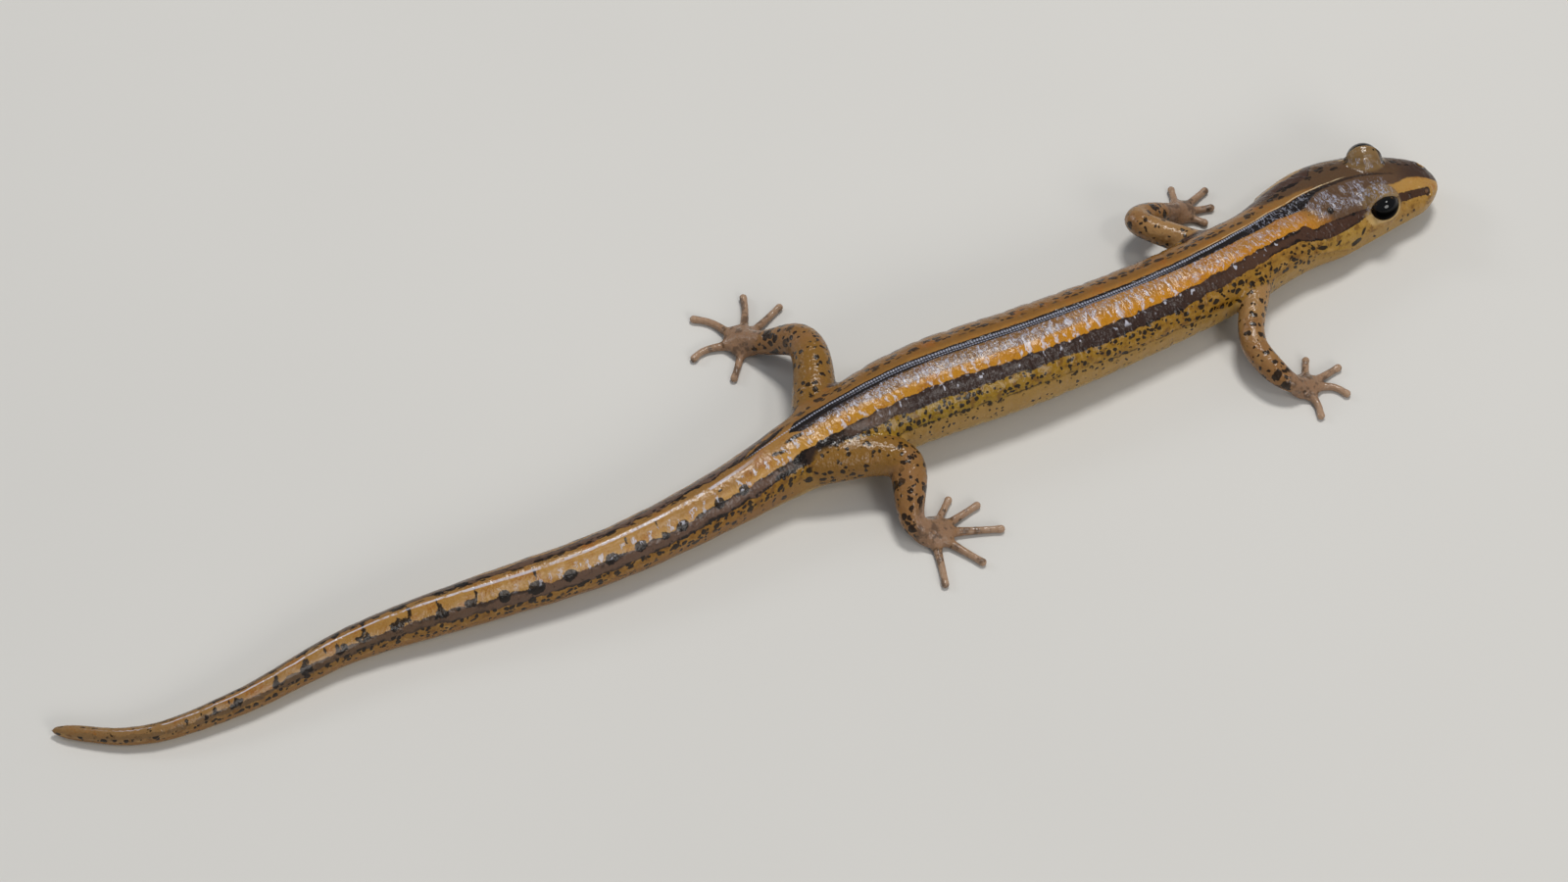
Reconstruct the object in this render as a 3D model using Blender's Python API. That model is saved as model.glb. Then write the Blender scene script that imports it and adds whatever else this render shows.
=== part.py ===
"""Southern two-lined salamander, life size, lying still on the floor with its tail in a loose curve.

Lengths are in millimetres and become metres where a mesh is made. +X runs towards the snout, +Y is the
animal's left and +Z is up. The origin is at floor level, under the middle of the whole animal.
"""

import math

import bmesh
import bpy
import numpy as np

MM = 0.001
GAP = 0.3  # between neighbouring pieces
TOTAL_LENGTH = 95.0  # snout to tail tip, along the curve

# The body's midline seen from above, from snout to tail tip
MIDLINE = [
    (45.8, 0.5), (42.8, 1.3), (39.8, 1.65), (36.8, 1.35), (33.8, 0.55), (30.3, -0.15), (25.3, -0.6),
    (17.1, -0.85), (8.3, -0.6), (1.3, -1.3), (-4.5, -2.2), (-12.1, -2.8), (-20.7, -2.2),
    (-28.2, -1.65), (-36.0, -2.4), (-41.6, -1.85), (-45.95, 0.93),
]

# Sizes along the body as (distance behind the snout, size)
WIDTH = [
    (0, 2.6), (2.4, 4.4), (4, 5.3), (6.7, 6.3), (8.2, 6.55), (9.6, 6.2), (11.4, 5.5), (13, 5.25),
    (16, 5.4), (22, 5.6), (30, 6.05), (35, 6.2), (39, 5.9), (43, 5.1), (46, 4.4), (49, 3.75), (53, 3.35),
    (60, 3.0), (68, 2.65), (76, 1.95), (83, 1.4), (89, 1.0), (93, 0.85), (95, 0.75),
]
TOP = [
    (0, 2.4), (1.2, 2.8), (2.4, 3.05), (4, 3.35), (6, 3.6), (8, 3.75), (10, 3.9), (13, 4.2), (16, 4.55),
    (22, 4.77), (30, 5.13), (36, 5.24), (42, 4.82), (46, 4.4), (50, 4.0), (56, 3.65), (64, 3.45), (70, 3.1),
    (76, 2.5), (83, 1.9), (89, 1.4), (93, 1.1), (95, 0.9),
]
UNDERSIDE = [
    (0, 1.0), (1.2, 0.6), (3, 0.3), (6, 0.12), (9, 0.0), (11.4, -0.1), (36, -0.15), (70, -0.1), (95, -0.05),
]
WIDEST_LEVEL = [
    (0, 1.75), (4, 1.7), (8, 1.75), (13, 2.1), (22, 2.3), (36, 2.5), (46, 2.1),
    (64, 1.6), (83, 1.0), (95, 0.45),
]
SQUARENESS = [(0, 2.2), (6, 2.5), (12, 2.25), (30, 2.15), (50, 2.0), (62, 1.85), (95, 1.8)]
SNOUT_LEVEL = 1.75
SNOUT_ROUND = 1.5
TAIL_LEVEL = 0.4
TAIL_ROUND = 1.6

# Where one length of the body ends and the next begins, as distances behind the snout
BODY_LENGTHS = {
    "head": (0.0, 11.4), "neck": (11.4, 13.9), "torso_front": (13.9, 25.5), "torso_middle": (25.5, 37.5),
    "torso_rear": (37.5, 47.2), "tail_base": (47.2, 60.0), "tail_middle": (60.0, 76.0),
    "tail_tip": (76.0, 95.0),
}
HEAD_SIDES = 32
TORSO_SIDES = 24
TAIL_SIDES = 18
SNOUT_RINGS = 8
HEAD_RINGS = 19
NECK_RINGS = 4
TAIL_RINGS = 11
TIP_RINGS = 13
JOIN_RINGS = 4  # where a grooved length runs on past its grooves

# Costal grooves on the flanks
GROOVES_START = 17.6
GROOVES_END = 42.0
GROOVE_COUNT = 14
GROOVE_DEPTH = 0.08
GROOVE_PHASES = (0.0, 0.18, 0.5, 0.82)

# Head details, as (distance behind the snout, distance out from the midline, height)
EYE_PLACE = (4.38, 1.82, 3.05)
EYE_SKEW = 0.1  # the left eye lies this much further forward and the right one further back
EYE_RADIUS = 0.88
EYE_TILT = 25.0  # upwards, in degrees
EYE_SWING = 2.0  # forwards, in degrees
BROW_RADIUS = 1.3
BROW_SINK = 0.19  # the brow's middle lies this far behind the eye's
LID_OUT = 0.7
LID_RADIUS = 1.02
LID_THICKNESS = 0.16
NOSTRIL_PLACE = (0.97, 1.05, 2.43)
NOSTRIL_RADIUS = 0.21
MOUTH_LEVEL = [(0, 1.28), (3, 1.12), (6, 1.12), (7.4, 1.32)]
MOUTH_CORNER = 7.2
MOUTH_GROOVE = 0.13
MOUTH_RINGS = 60

# Limbs: joints in millimetres from shoulder or hip to the middle of the foot, then the toes' points
LIMBS = {
    "front_right": {
        "joints": [(31.8, -1.7, 2.3), (29.4, -6.2, 1.9), (30.6, -8.9, 1.0), (31.3, -8.9, 0.5)],
        "toes": [
            [(32.5, -6.9)], [(34.1, -8.4)], [(33.0, -9.7), (33.5, -10.6)], [(31.4, -10.3), (31.1, -11.4)],
        ],
    },
    "front_left": {
        "joints": [(30.7, 1.2, 2.4), (27.5, 5.6, 2.4), (30.1, 6.3, 1.0), (30.9, 6.4, 0.5)],
        "toes": [[(31.5, 8.5)], [(33.5, 7.4)], [(33.2, 5.9)], [(32.2, 4.9)]],
    },
    "hind_right": {
        "joints": [(1.7, -2.4, 2.6), (6.2, -4.8, 2.5), (5.4, -8.5, 1.0), (6.2, -8.8, 0.55)],
        "toes": [
            [(7.4, -7.6), (8.3, -6.8)], [(9.7, -8.0)], [(10.2, -10.3)], [(8.0, -12.1)],
            [(5.9, -9.9), (5.3, -12.0), (5.1, -12.6)],
        ],
    },
    "hind_left": {
        "joints": [(2.5, -0.6, 2.5), (4.6, 6.1, 2.6), (2.9, 8.2, 1.0), (2.3, 9.1, 0.55)],
        "toes": [
            [(1.7, 8.2), (0.5, 6.7)], [(-0.5, 9.5), (-1.1, 9.2)], [(1.0, 11.6), (0.2, 12.2)],
            [(3.7, 11.8), (3.9, 12.5)], [(5.7, 10.7)],
        ],
    },
}
FRONT_THICKNESS = [(0.0, 1.8), (0.45, 1.6), (0.7, 1.55), (0.93, 1.1), (1.0, 1.1)]
HIND_THICKNESS = [(0.0, 3.0), (0.35, 2.5), (0.6, 2.15), (0.9, 1.4), (1.0, 1.3)]
FRONT_PALM = (1.9, 1.8, 0.9)
HIND_PALM = (2.5, 2.2, 1.05)
PALM_RAISE = 0.42  # the palm's middle, as a share of its thickness above the floor
TOE_THICKNESS = [(0.0, 0.85), (0.3, 0.66), (0.7, 0.58), (0.92, 0.56), (1.0, 0.6)]
TOE_LEVEL = 0.26
TOE_ROOT_RAISE = 0.08
TOE_START = 0.12  # a toe's root, as a share of the way from the palm's middle to its first point
TOE_ROOT_ROUND = 0.2
TOE_TIP_ROUND = 0.3
ROOT_ROUND = 0.6  # the buried end of an upper leg
ANKLE_ROUND = 0.4  # the buried end of the ankle's stub
LIMB_SIDES = 14
TOE_SIDES = 8
FLANK_FRONT = (11.0, 21.0)  # the lengths of trunk that a front and a hind leg are parted from
FLANK_HIND = (37.0, 51.0)
FLOOR_REACH = 12.0
FLOOR_DEPTH = 3.0

COLOURS = {
    "back": (0.50, 0.29, 0.07), "head": (0.36, 0.24, 0.10), "tail": (0.46, 0.29, 0.10),
    "limb": (0.45, 0.26, 0.13), "foot": (0.30, 0.22, 0.17), "eye": (0.01, 0.008, 0.006),
}
SKIN_ROUGHNESS = 0.3
EYE_ROUGHNESS = 0.05
SHARP_ANGLE = 50.0


def through(stations, at):
    """The value at a distance, on a smooth curve through (distance, value) stations that never overshoots."""
    x = np.array([station[0] for station in stations], float)
    y = np.array([station[1:] for station in stations], float)
    step = np.diff(x)[:, None]
    slope = np.diff(y, axis=0) / step
    both = slope[:-1] * slope[1:]
    inner = np.where(both > 0, 2 * both / np.where(both > 0, slope[:-1] + slope[1:], 1), 0)
    tangent = np.vstack([slope[:1], inner, slope[-1:]])
    i = int(np.clip(np.searchsorted(x, at) - 1, 0, len(step) - 1))
    u = min(max((at - x[i]) / step[i, 0], 0.0), 1.0)
    value = (
        (2 * u**3 - 3 * u**2 + 1) * y[i]
        + (u**3 - 2 * u**2 + u) * step[i] * tangent[i]
        + (3 * u**2 - 2 * u**3) * y[i + 1]
        + (u**3 - u**2) * step[i] * tangent[i + 1]
    )
    return value if value.size > 1 else float(value[0])


class Path:
    """A smooth curve through points, read by the distance along it."""

    def __init__(self, points, samples=600):
        points = np.array(points, float)
        knots = np.concatenate([[0], np.cumsum(np.linalg.norm(np.diff(points, axis=0), axis=1))])
        tangent = np.gradient(points, knots, axis=0)
        dense = []
        for t in np.linspace(0, knots[-1], samples):
            i = int(np.clip(np.searchsorted(knots, t) - 1, 0, len(knots) - 2))
            step = knots[i + 1] - knots[i]
            u = (t - knots[i]) / step
            dense.append(
                (2 * u**3 - 3 * u**2 + 1) * points[i]
                + (u**3 - 2 * u**2 + u) * step * tangent[i]
                + (3 * u**2 - 2 * u**3) * points[i + 1]
                + (u**3 - u**2) * step * tangent[i + 1]
            )
        self.dense = np.array(dense)
        self.along = np.concatenate([[0], np.cumsum(np.linalg.norm(np.diff(self.dense, axis=0), axis=1))])
        self.length = self.along[-1]

    def point(self, at):
        return np.array([np.interp(at, self.along, column) for column in self.dense.T])

    def tangent(self, at, reach=0.15):
        run = self.point(min(at + reach, self.length)) - self.point(max(at - reach, 0))
        return run / np.linalg.norm(run)


midline = Path(MIDLINE)
midline_scale = midline.length / TOTAL_LENGTH


def body_frame(back):
    """The midline point at a distance behind the snout, and the unit vector to the animal's left there."""
    at = back * midline_scale
    centre = midline.point(at)
    ahead = -midline.tangent(at)
    return centre, np.array([-ahead[1], ahead[0]])


def body_place(back, out, height):
    """A point of the animal, out from the midline to its left."""
    centre, left = body_frame(back)
    return np.array([centre[0] + left[0] * out, centre[1] + left[1] * out, height])


def rounding(back):
    """How far the body has filled out near its two ends, from 0 at the tip to 1."""
    near = min(back / SNOUT_ROUND, (TOTAL_LENGTH - back) / TAIL_ROUND, 1.0)
    return math.sqrt(max(1 - (1 - near) ** 2, 0.0))


def body_section(back):
    """Half width, top, underside, widest level and squareness of the body at a distance behind the snout."""
    full = rounding(back)
    tip = SNOUT_LEVEL if back < TOTAL_LENGTH / 2 else TAIL_LEVEL
    half = through(WIDTH, back) / 2 * full
    top = tip + (through(TOP, back) - tip) * full
    under = tip + (through(UNDERSIDE, back) - tip) * full
    level = tip + (through(WIDEST_LEVEL, back) - tip) * full
    return half, top, under, level, through(SQUARENESS, back)


def costal_groove(back):
    """1 in the bottom of a groove between two ribs, 0 between grooves."""
    if not GROOVES_START - 0.5 < back < GROOVES_END + 0.5:
        return 0.0
    phase = (back - GROOVES_START) / (GROOVES_END - GROOVES_START) * (GROOVE_COUNT - 1)
    return max(0.0, math.cos(2 * math.pi * phase)) ** 4


def body_ring(back, sides, grow=0.0):
    """One cross-section of the body, flattened where it rests on the floor."""
    half, top, under, level, square = body_section(back)
    dent = GROOVE_DEPTH * costal_groove(back)
    ring = []
    for i in range(sides):
        angle = 2 * math.pi * i / sides
        c, s = math.cos(angle), math.sin(angle)
        out = math.copysign(abs(c) ** (2 / square), c)
        up = abs(s) ** (2 / square)
        reach = half + grow - dent * c * c
        height = level + (top + grow - level) * up if s >= 0 else level - (level - under + grow) * up
        floor = 0.0 if grow == 0 else -grow
        ring.append(body_place(back, reach * out, max(height, floor)))
    return ring


def make_mesh(name, verts, faces):
    mesh = bpy.data.meshes.new(name)
    mesh.from_pydata([tuple(float(c) * MM for c in v) for v in verts], [], faces)
    bm = bmesh.new()
    bm.from_mesh(mesh)
    bmesh.ops.recalc_face_normals(bm, faces=bm.faces)
    bm.to_mesh(mesh)
    bm.free()
    return mesh


def loft(name, rings, first_tip=None, last_tip=None):
    """A closed surface through rings of equal count, its ends closed on a point or on the ring's middle."""
    sides = len(rings[0])
    verts = [p for ring in rings for p in ring]
    faces = []
    for r in range(len(rings) - 1):
        for i in range(sides):
            j = (i + 1) % sides
            faces.append((r * sides + i, r * sides + j, (r + 1) * sides + j, (r + 1) * sides + i))
    last = (len(rings) - 1) * sides
    verts.append(np.mean(rings[0], axis=0) if first_tip is None else first_tip)
    verts.append(np.mean(rings[-1], axis=0) if last_tip is None else last_tip)
    for i in range(sides):
        j = (i + 1) % sides
        faces.append((len(verts) - 2, j, i))
        faces.append((len(verts) - 1, last + i, last + j))
    return bpy.data.objects.new(name, make_mesh(name, verts, faces))


def tube(name, path, thickness, start, end, sides, rings, round_start=0.0, round_end=0.0):
    """A tapered round limb along a path, from start to end in millimetres, with rounded or flat ends."""
    stations = list(np.linspace(start, end, rings))
    if round_end:
        stations = [s for s in stations if s < end - round_end] + [
            end - round_end * (1 - math.sin(a)) for a in np.linspace(0, math.pi / 2, 4)[:-1]
        ]
    if round_start:
        stations = [start + round_start * (1 - math.cos(a)) for a in np.linspace(0, math.pi / 2, 4)[1:]] + [
            s for s in stations if s > start + round_start
        ]
    loops = []
    for s in stations:
        radius = through(thickness, s / path.length) / 2
        if round_end and s > end - round_end:
            radius *= math.sqrt(max(1 - ((s - end + round_end) / round_end) ** 2, 0))
        if round_start and s < start + round_start:
            radius *= math.sqrt(max(1 - ((start + round_start - s) / round_start) ** 2, 0))
        ahead = path.tangent(s)
        side = np.cross((0, 0, 1), ahead)
        side /= np.linalg.norm(side)
        up = np.cross(ahead, side)
        angles = [2 * math.pi * i / sides for i in range(sides)]
        loops.append([path.point(s) + radius * (math.cos(a) * side + math.sin(a) * up) for a in angles])
    first = path.point(start) if round_start else None
    last = path.point(end) if round_end else None
    return loft(name, loops, first, last)


def ball(name, centre, radii, turn=0.0, segments=16, rings=10):
    """An ellipsoid with its radii along X, Y and Z, turned about Z."""
    bm = bmesh.new()
    bmesh.ops.create_uvsphere(bm, u_segments=segments, v_segments=rings, radius=1.0)
    mesh = bpy.data.meshes.new(name)
    for v in bm.verts:
        x, y, z = v.co.x * radii[0], v.co.y * radii[1], v.co.z * radii[2]
        v.co.x = (centre[0] + x * math.cos(turn) - y * math.sin(turn)) * MM
        v.co.y = (centre[1] + x * math.sin(turn) + y * math.cos(turn)) * MM
        v.co.z = (centre[2] + z) * MM
    bm.to_mesh(mesh)
    bm.free()
    return bpy.data.objects.new(name, mesh)


def closed_ring(name, centre, axis, radius, thickness, segments=24, sides=8):
    """A torus round an axis."""
    axis = np.array(axis, float) / np.linalg.norm(axis)
    side = np.cross((0, 0, 1), axis)
    side /= np.linalg.norm(side)
    up = np.cross(axis, side)
    verts, faces = [], []
    for i in range(segments):
        a = 2 * math.pi * i / segments
        outward = math.cos(a) * side + math.sin(a) * up
        for j in range(sides):
            b = 2 * math.pi * j / sides
            around = outward * math.cos(b) + axis * math.sin(b)
            verts.append(np.array(centre) + outward * radius + around * thickness)
            i2, j2 = (i + 1) % segments, (j + 1) % sides
            faces.append((i * sides + j, i2 * sides + j, i2 * sides + j2, i * sides + j2))
    return bpy.data.objects.new(name, make_mesh(name, verts, faces))


def keep_largest(mesh):
    """Leaves only the closed surface with the largest box of a mesh."""
    bm = bmesh.new()
    bm.from_mesh(mesh)
    bmesh.ops.remove_doubles(bm, verts=bm.verts, dist=1e-7)
    left = set(bm.verts)
    shells = []
    while left:
        grown = [left.pop()]
        shell = set(grown)
        while grown:
            for edge in grown.pop().link_edges:
                for v in edge.verts:
                    if v in left:
                        left.discard(v)
                        shell.add(v)
                        grown.append(v)
        shells.append(shell)
    largest = max(shells, key=lambda s: np.prod(np.ptp([v.co[:] for v in s], axis=0)))
    for shell in shells:
        if shell is not largest:
            bmesh.ops.delete(bm, geom=list(shell), context="VERTS")
    bm.to_mesh(mesh)
    bm.free()


def fuse(obj, joined=(), cut=()):
    """Joins closed pieces to an object and cuts others away, then drops the helpers."""
    scene = bpy.context.scene.collection
    scene.objects.link(obj)
    for operation, tools in (("UNION", joined), ("DIFFERENCE", cut)):
        for tool in tools:
            scene.objects.link(tool)
            modifier = obj.modifiers.new(operation.title(), "BOOLEAN")
            modifier.operation = operation
            modifier.object = tool
    graph = bpy.context.evaluated_depsgraph_get()
    mesh = bpy.data.meshes.new_from_object(obj.evaluated_get(graph))
    obj.modifiers.clear()
    obj.data = mesh
    keep_largest(mesh)
    for tool in (*joined, *cut):
        bpy.data.objects.remove(tool)
    scene.objects.unlink(obj)
    return obj


def mirrored(place, side):
    return body_place(place[0], place[1] * side, place[2])


def mouth_tube():
    """A thin bent tube that follows the lips from one corner of the mouth round the snout to the other."""
    right = []
    for back in MOUTH_CORNER * (1 - np.cos(np.linspace(0, math.pi / 2, 40))):
        half, _, under, level, square = body_section(back)
        height = through(MOUTH_LEVEL, back)
        if height <= under + 0.01:
            continue
        sine = ((level - height) / (level - under)) ** (square / 2)
        out = half * math.sqrt(max(1 - sine**2, 0)) ** (2 / square)
        right.append((back, out, height))
    points = [body_place(b, -o, h) for b, o, h in reversed(right)] + [body_place(*p) for p in right]
    path = Path(points)
    thickness = [(0, 2 * MOUTH_GROOVE), (1, 2 * MOUTH_GROOVE)]
    return tube("mouth_groove", path, thickness, 0, path.length, 6, MOUTH_RINGS, MOUTH_GROOVE, MOUTH_GROOVE)


def eye_frame(side):
    """The middle of an eye and the unit vector that it looks along."""
    back, out, height = EYE_PLACE
    back -= EYE_SKEW * side
    tilt, swing = math.radians(EYE_TILT), math.radians(EYE_SWING)
    ahead, outward = math.sin(swing) * math.cos(tilt), math.cos(swing) * math.cos(tilt)
    eye = mirrored((back, out, height), side)
    aim = mirrored((back - ahead, out + outward, height + math.sin(tilt)), side) - eye
    return eye, aim / np.linalg.norm(aim)


def make_head():
    start, end = BODY_LENGTHS["head"]
    snout = [SNOUT_ROUND * (1 - math.cos(a)) for a in np.linspace(0, math.pi / 2, SNOUT_RINGS + 1)[1:]]
    stations = snout + list(np.linspace(SNOUT_ROUND, end - GAP / 2, HEAD_RINGS + 1)[1:])
    tip = body_place(start, 0, SNOUT_LEVEL)
    head = loft("head", [body_ring(s, HEAD_SIDES) for s in stations], tip)
    joined, cut = [], [mouth_tube()]
    for side, label in ((1, "left"), (-1, "right")):
        eye, aim = eye_frame(side)
        joined.append(ball(f"brow_{label}", eye - aim * BROW_SINK, [BROW_RADIUS] * 3, segments=20, rings=12))
        joined.append(closed_ring(f"lids_{label}", eye + aim * LID_OUT, aim, LID_RADIUS, LID_THICKNESS))
        cut.append(ball(f"socket_{label}", eye, [EYE_RADIUS + GAP] * 3, segments=20, rings=12))
        nostril = mirrored(NOSTRIL_PLACE, side)
        cut.append(ball(f"nostril_{label}", nostril, [NOSTRIL_RADIUS] * 3, segments=8, rings=6))
    return fuse(head, joined, cut)


def make_body_length(name):
    start, end = BODY_LENGTHS[name]
    sides = TORSO_SIDES if name.startswith(("neck", "torso")) else TAIL_SIDES
    first, last = start + GAP / 2, end - GAP / 2
    if name == "tail_tip":
        stations = list(np.linspace(first, end - TAIL_ROUND, TIP_RINGS)) + [
            end - TAIL_ROUND * (1 - math.sin(a)) for a in np.linspace(0, math.pi / 2, 5)[1:-1]
        ]
        return loft(name, [body_ring(s, sides) for s in stations], None, body_place(end, 0, TAIL_LEVEL))
    spacing = (GROOVES_END - GROOVES_START) / (GROOVE_COUNT - 1)
    grooved = [GROOVES_START + spacing * (n + p) for n in range(-1, GROOVE_COUNT) for p in GROOVE_PHASES]
    inside = [s for s in grooved if first + 0.2 < s < last - 0.2]
    ends = [first, last]
    if not inside:
        ends = list(np.linspace(first, last, NECK_RINGS if name == "neck" else TAIL_RINGS))
    elif name == "torso_rear":
        ends = [first] + list(np.linspace(max(inside), last, JOIN_RINGS + 1)[1:])
    elif name == "torso_front":
        ends = list(np.linspace(first, min(inside), JOIN_RINGS)[:-1]) + [last]
    return loft(name, [body_ring(s, sides) for s in sorted(inside + ends)])


def trunk_cutter(name, start, end):
    """The trunk grown by the gap, which parts a leg's root from the flank."""
    stations = np.linspace(start, end, 14)
    return loft(name, [body_ring(s, TORSO_SIDES, GAP) for s in stations])


def make_limb(place, limb):
    """The upper leg, lower leg and foot of one limb."""
    front = place.startswith("front")
    thickness = FRONT_THICKNESS if front else HIND_THICKNESS
    joints = limb["joints"]
    path = Path(joints)
    knots = [path.along[np.argmin(np.linalg.norm(path.dense - np.array(j), axis=1))] for j in joints]
    bend, ankle = knots[1], knots[2]
    names = ("upper_arm", "forearm", "hand") if front else ("thigh", "shank", "foot")
    upper = tube(f"{names[0]}_{place}", path, thickness, 0, bend - GAP / 2, LIMB_SIDES, 10, ROOT_ROUND)
    span = FLANK_FRONT if front else FLANK_HIND
    upper = fuse(upper, cut=[trunk_cutter(f"flank_{place}", *span)])
    lower = tube(f"{names[1]}_{place}", path, thickness, bend + GAP / 2, ankle - GAP / 2, LIMB_SIDES, 8)
    return [upper, lower, make_foot(f"{names[2]}_{place}", path, thickness, ankle + GAP / 2, limb)]


def make_foot(name, path, thickness, start, limb):
    """A flat palm with the ankle's stub and its toes, resting on the floor."""
    palm = FRONT_PALM if "hand" in name else HIND_PALM
    centre = np.array(limb["joints"][-1])
    tips = np.mean([toe[-1] for toe in limb["toes"]], axis=0)
    turn = math.atan2(tips[1] - centre[1], tips[0] - centre[0])
    body = ball(name, (centre[0], centre[1], palm[2] * PALM_RAISE), [p / 2 for p in palm], turn)
    joined = [tube(f"ankle_{name}", path, thickness, start, path.length, LIMB_SIDES, 4, 0, ANKLE_ROUND)]
    for i, toe in enumerate(limb["toes"]):
        first = centre[:2] + TOE_START * (np.array(toe[0]) - centre[:2])
        points = [(first[0], first[1], TOE_LEVEL + TOE_ROOT_RAISE)] + [(x, y, TOE_LEVEL) for x, y in toe]
        way = Path(points, 120)
        shape = (TOE_THICKNESS, 0, way.length, TOE_SIDES, 7, TOE_ROOT_ROUND, TOE_TIP_ROUND)
        joined.append(tube(f"toe_{i}_{name}", way, *shape))
    return fuse(body, joined, [floor_block(f"floor_{name}", centre)])


def floor_block(name, centre):
    """A block under the floor level, which leaves a foot flat where it rests."""
    bm = bmesh.new()
    bmesh.ops.create_cube(bm, size=1.0)
    for v in bm.verts:
        v.co.x = (centre[0] + v.co.x * FLOOR_REACH) * MM
        v.co.y = (centre[1] + v.co.y * FLOOR_REACH) * MM
        v.co.z = (v.co.z - 0.5) * FLOOR_DEPTH * MM
    mesh = bpy.data.meshes.new(name)
    bm.to_mesh(mesh)
    bm.free()
    return bpy.data.objects.new(name, mesh)


def finish(obj, colour, roughness):
    material = bpy.data.materials.new(f"{obj.name}_finish")
    material.use_nodes = True
    shader = material.node_tree.nodes["Principled BSDF"]
    shader.inputs["Base Color"].default_value = (*colour, 1.0)
    shader.inputs["Roughness"].default_value = roughness
    shader.inputs["Metallic"].default_value = 0.0
    obj.data.materials.clear()
    obj.data.materials.append(material)
    obj.data.shade_smooth()
    obj.data.set_sharp_from_angle(angle=math.radians(SHARP_ANGLE))


def main():
    for old in list(bpy.data.objects):
        bpy.data.objects.remove(old)
    collection = bpy.data.collections.new("two_lined_salamander")
    bpy.context.scene.collection.children.link(collection)
    pieces = [(make_head(), "head")]
    for side, label in ((1, "left"), (-1, "right")):
        pieces.append((ball(f"eye_{label}", eye_frame(side)[0], [EYE_RADIUS] * 3), "eye"))
    for name in BODY_LENGTHS:
        if name != "head":
            pieces.append((make_body_length(name), "tail" if name.startswith("tail") else "back"))
    for place, limb in LIMBS.items():
        upper, lower, foot = make_limb(place, limb)
        pieces += [(upper, "limb"), (lower, "limb"), (foot, "foot")]
    for obj, look in pieces:
        collection.objects.link(obj)
        finish(obj, COLOURS[look], EYE_ROUGHNESS if look == "eye" else SKIN_ROUGHNESS)


main()
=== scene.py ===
import math

import bmesh
import bpy
import numpy as np
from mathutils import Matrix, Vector


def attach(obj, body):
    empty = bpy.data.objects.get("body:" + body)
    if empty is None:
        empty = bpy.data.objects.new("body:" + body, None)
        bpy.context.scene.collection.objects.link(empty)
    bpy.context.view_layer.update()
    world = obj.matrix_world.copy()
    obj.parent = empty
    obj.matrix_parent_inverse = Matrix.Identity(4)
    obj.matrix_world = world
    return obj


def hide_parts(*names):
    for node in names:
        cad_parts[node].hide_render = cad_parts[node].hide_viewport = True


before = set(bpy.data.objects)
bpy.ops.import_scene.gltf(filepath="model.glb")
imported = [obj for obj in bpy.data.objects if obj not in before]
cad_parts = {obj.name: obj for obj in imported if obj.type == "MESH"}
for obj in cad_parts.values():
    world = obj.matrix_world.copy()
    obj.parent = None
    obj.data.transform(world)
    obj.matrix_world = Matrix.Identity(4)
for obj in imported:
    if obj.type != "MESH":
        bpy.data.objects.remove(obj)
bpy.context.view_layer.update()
print("frame loaded:", len(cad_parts), "nodes")

mm = 0.001  # shapes are worked out in millimetres and become metres when they are finished
eyeNodes = ("eye_left", "eye_right")


# the body: a midline from snout to tail tip, with sizes read by the distance behind the snout
bodyShape = {
    "length": 95.0,
    "midline": [
        (45.8, 0.5), (42.8, 1.3), (39.8, 1.65), (36.8, 1.35), (33.8, 0.55), (30.3, -0.15), (25.3, -0.6),
        (17.1, -0.85), (8.3, -0.6), (1.3, -1.3), (-4.5, -2.2), (-12.1, -2.8), (-20.7, -2.2),
        (-28.2, -1.65), (-36.0, -2.4), (-41.6, -1.85), (-45.9, 0.9),
    ],
    "width": [
        (0, 2.6), (2.4, 4.4), (4, 5.3), (6.7, 6.3), (8.2, 6.55), (9.6, 6.2), (11.4, 5.5), (13, 5.25),
        (16, 5.4), (22, 5.6), (30, 6.05), (35, 6.2), (39, 5.9), (43, 5.1), (46, 4.4), (49, 3.75), (53, 3.35),
        (60, 3.0), (68, 2.65), (76, 1.95), (83, 1.4), (89, 1.0), (93, 0.85), (95, 0.75),
    ],
    "top": [
        (0, 2.4), (1.2, 2.8), (2.4, 3.05), (4, 3.35), (6, 3.6), (8, 3.75), (10, 3.9), (13, 4.2), (16, 4.55),
        (22, 4.75), (30, 5.1), (36, 5.2), (42, 4.8), (46, 4.4), (50, 4.0), (56, 3.65), (64, 3.45), (70, 3.1),
        (76, 2.5), (83, 1.9), (89, 1.4), (93, 1.1), (95, 0.9),
    ],
    "underside": [
        (0, 1.0), (1.2, 0.6), (3, 0.3), (6, 0.12), (9, 0.0), (11.4, -0.1), (36, -0.15), (70, -0.1),
        (95, -0.05),
    ],
    "widestLevel": [
        (0, 1.75), (4, 1.7), (8, 1.75), (13, 2.1), (22, 2.3), (36, 2.5), (46, 2.1), (64, 1.6), (83, 1.0),
        (95, 0.45),
    ],
    "squareness": [(0, 2.2), (6, 2.5), (12, 2.25), (30, 2.15), (50, 2.0), (62, 1.85), (95, 1.8)],
    "snoutRound": 1.5,
    "tailRound": 1.6,
}

# folds of the trunk; a turn is the angle round the body from the pattern's middle line, in degrees
foldShape = {
    "swell": 0.014, "grooveSpan": (17.6, 42.0), "grooveCount": 14, "grooveDepth": 0.07,
    "creaseWidth": 3.5, "creaseDepth": 0.07, "creaseSpan": (12.5, 43.0),
    "furrowWidth": 3.0, "furrowDepth": 0.05, "furrowSpan": (9.0, 47.0),
    "ridgeTurn": -3.0, "ridgeWidth": 12.0, "ridgeHeight": 0.07, "ridgeSpan": (55.0, 94.0),
    "gularLine": [(7.4, 95.0), (8.2, 93.5), (9.6, 81.5), (10.9, 76.5)],
    "gularHeight": 0.12, "gularWidth": 0.2, "gularFoldAway": 0.34,
}

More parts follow.
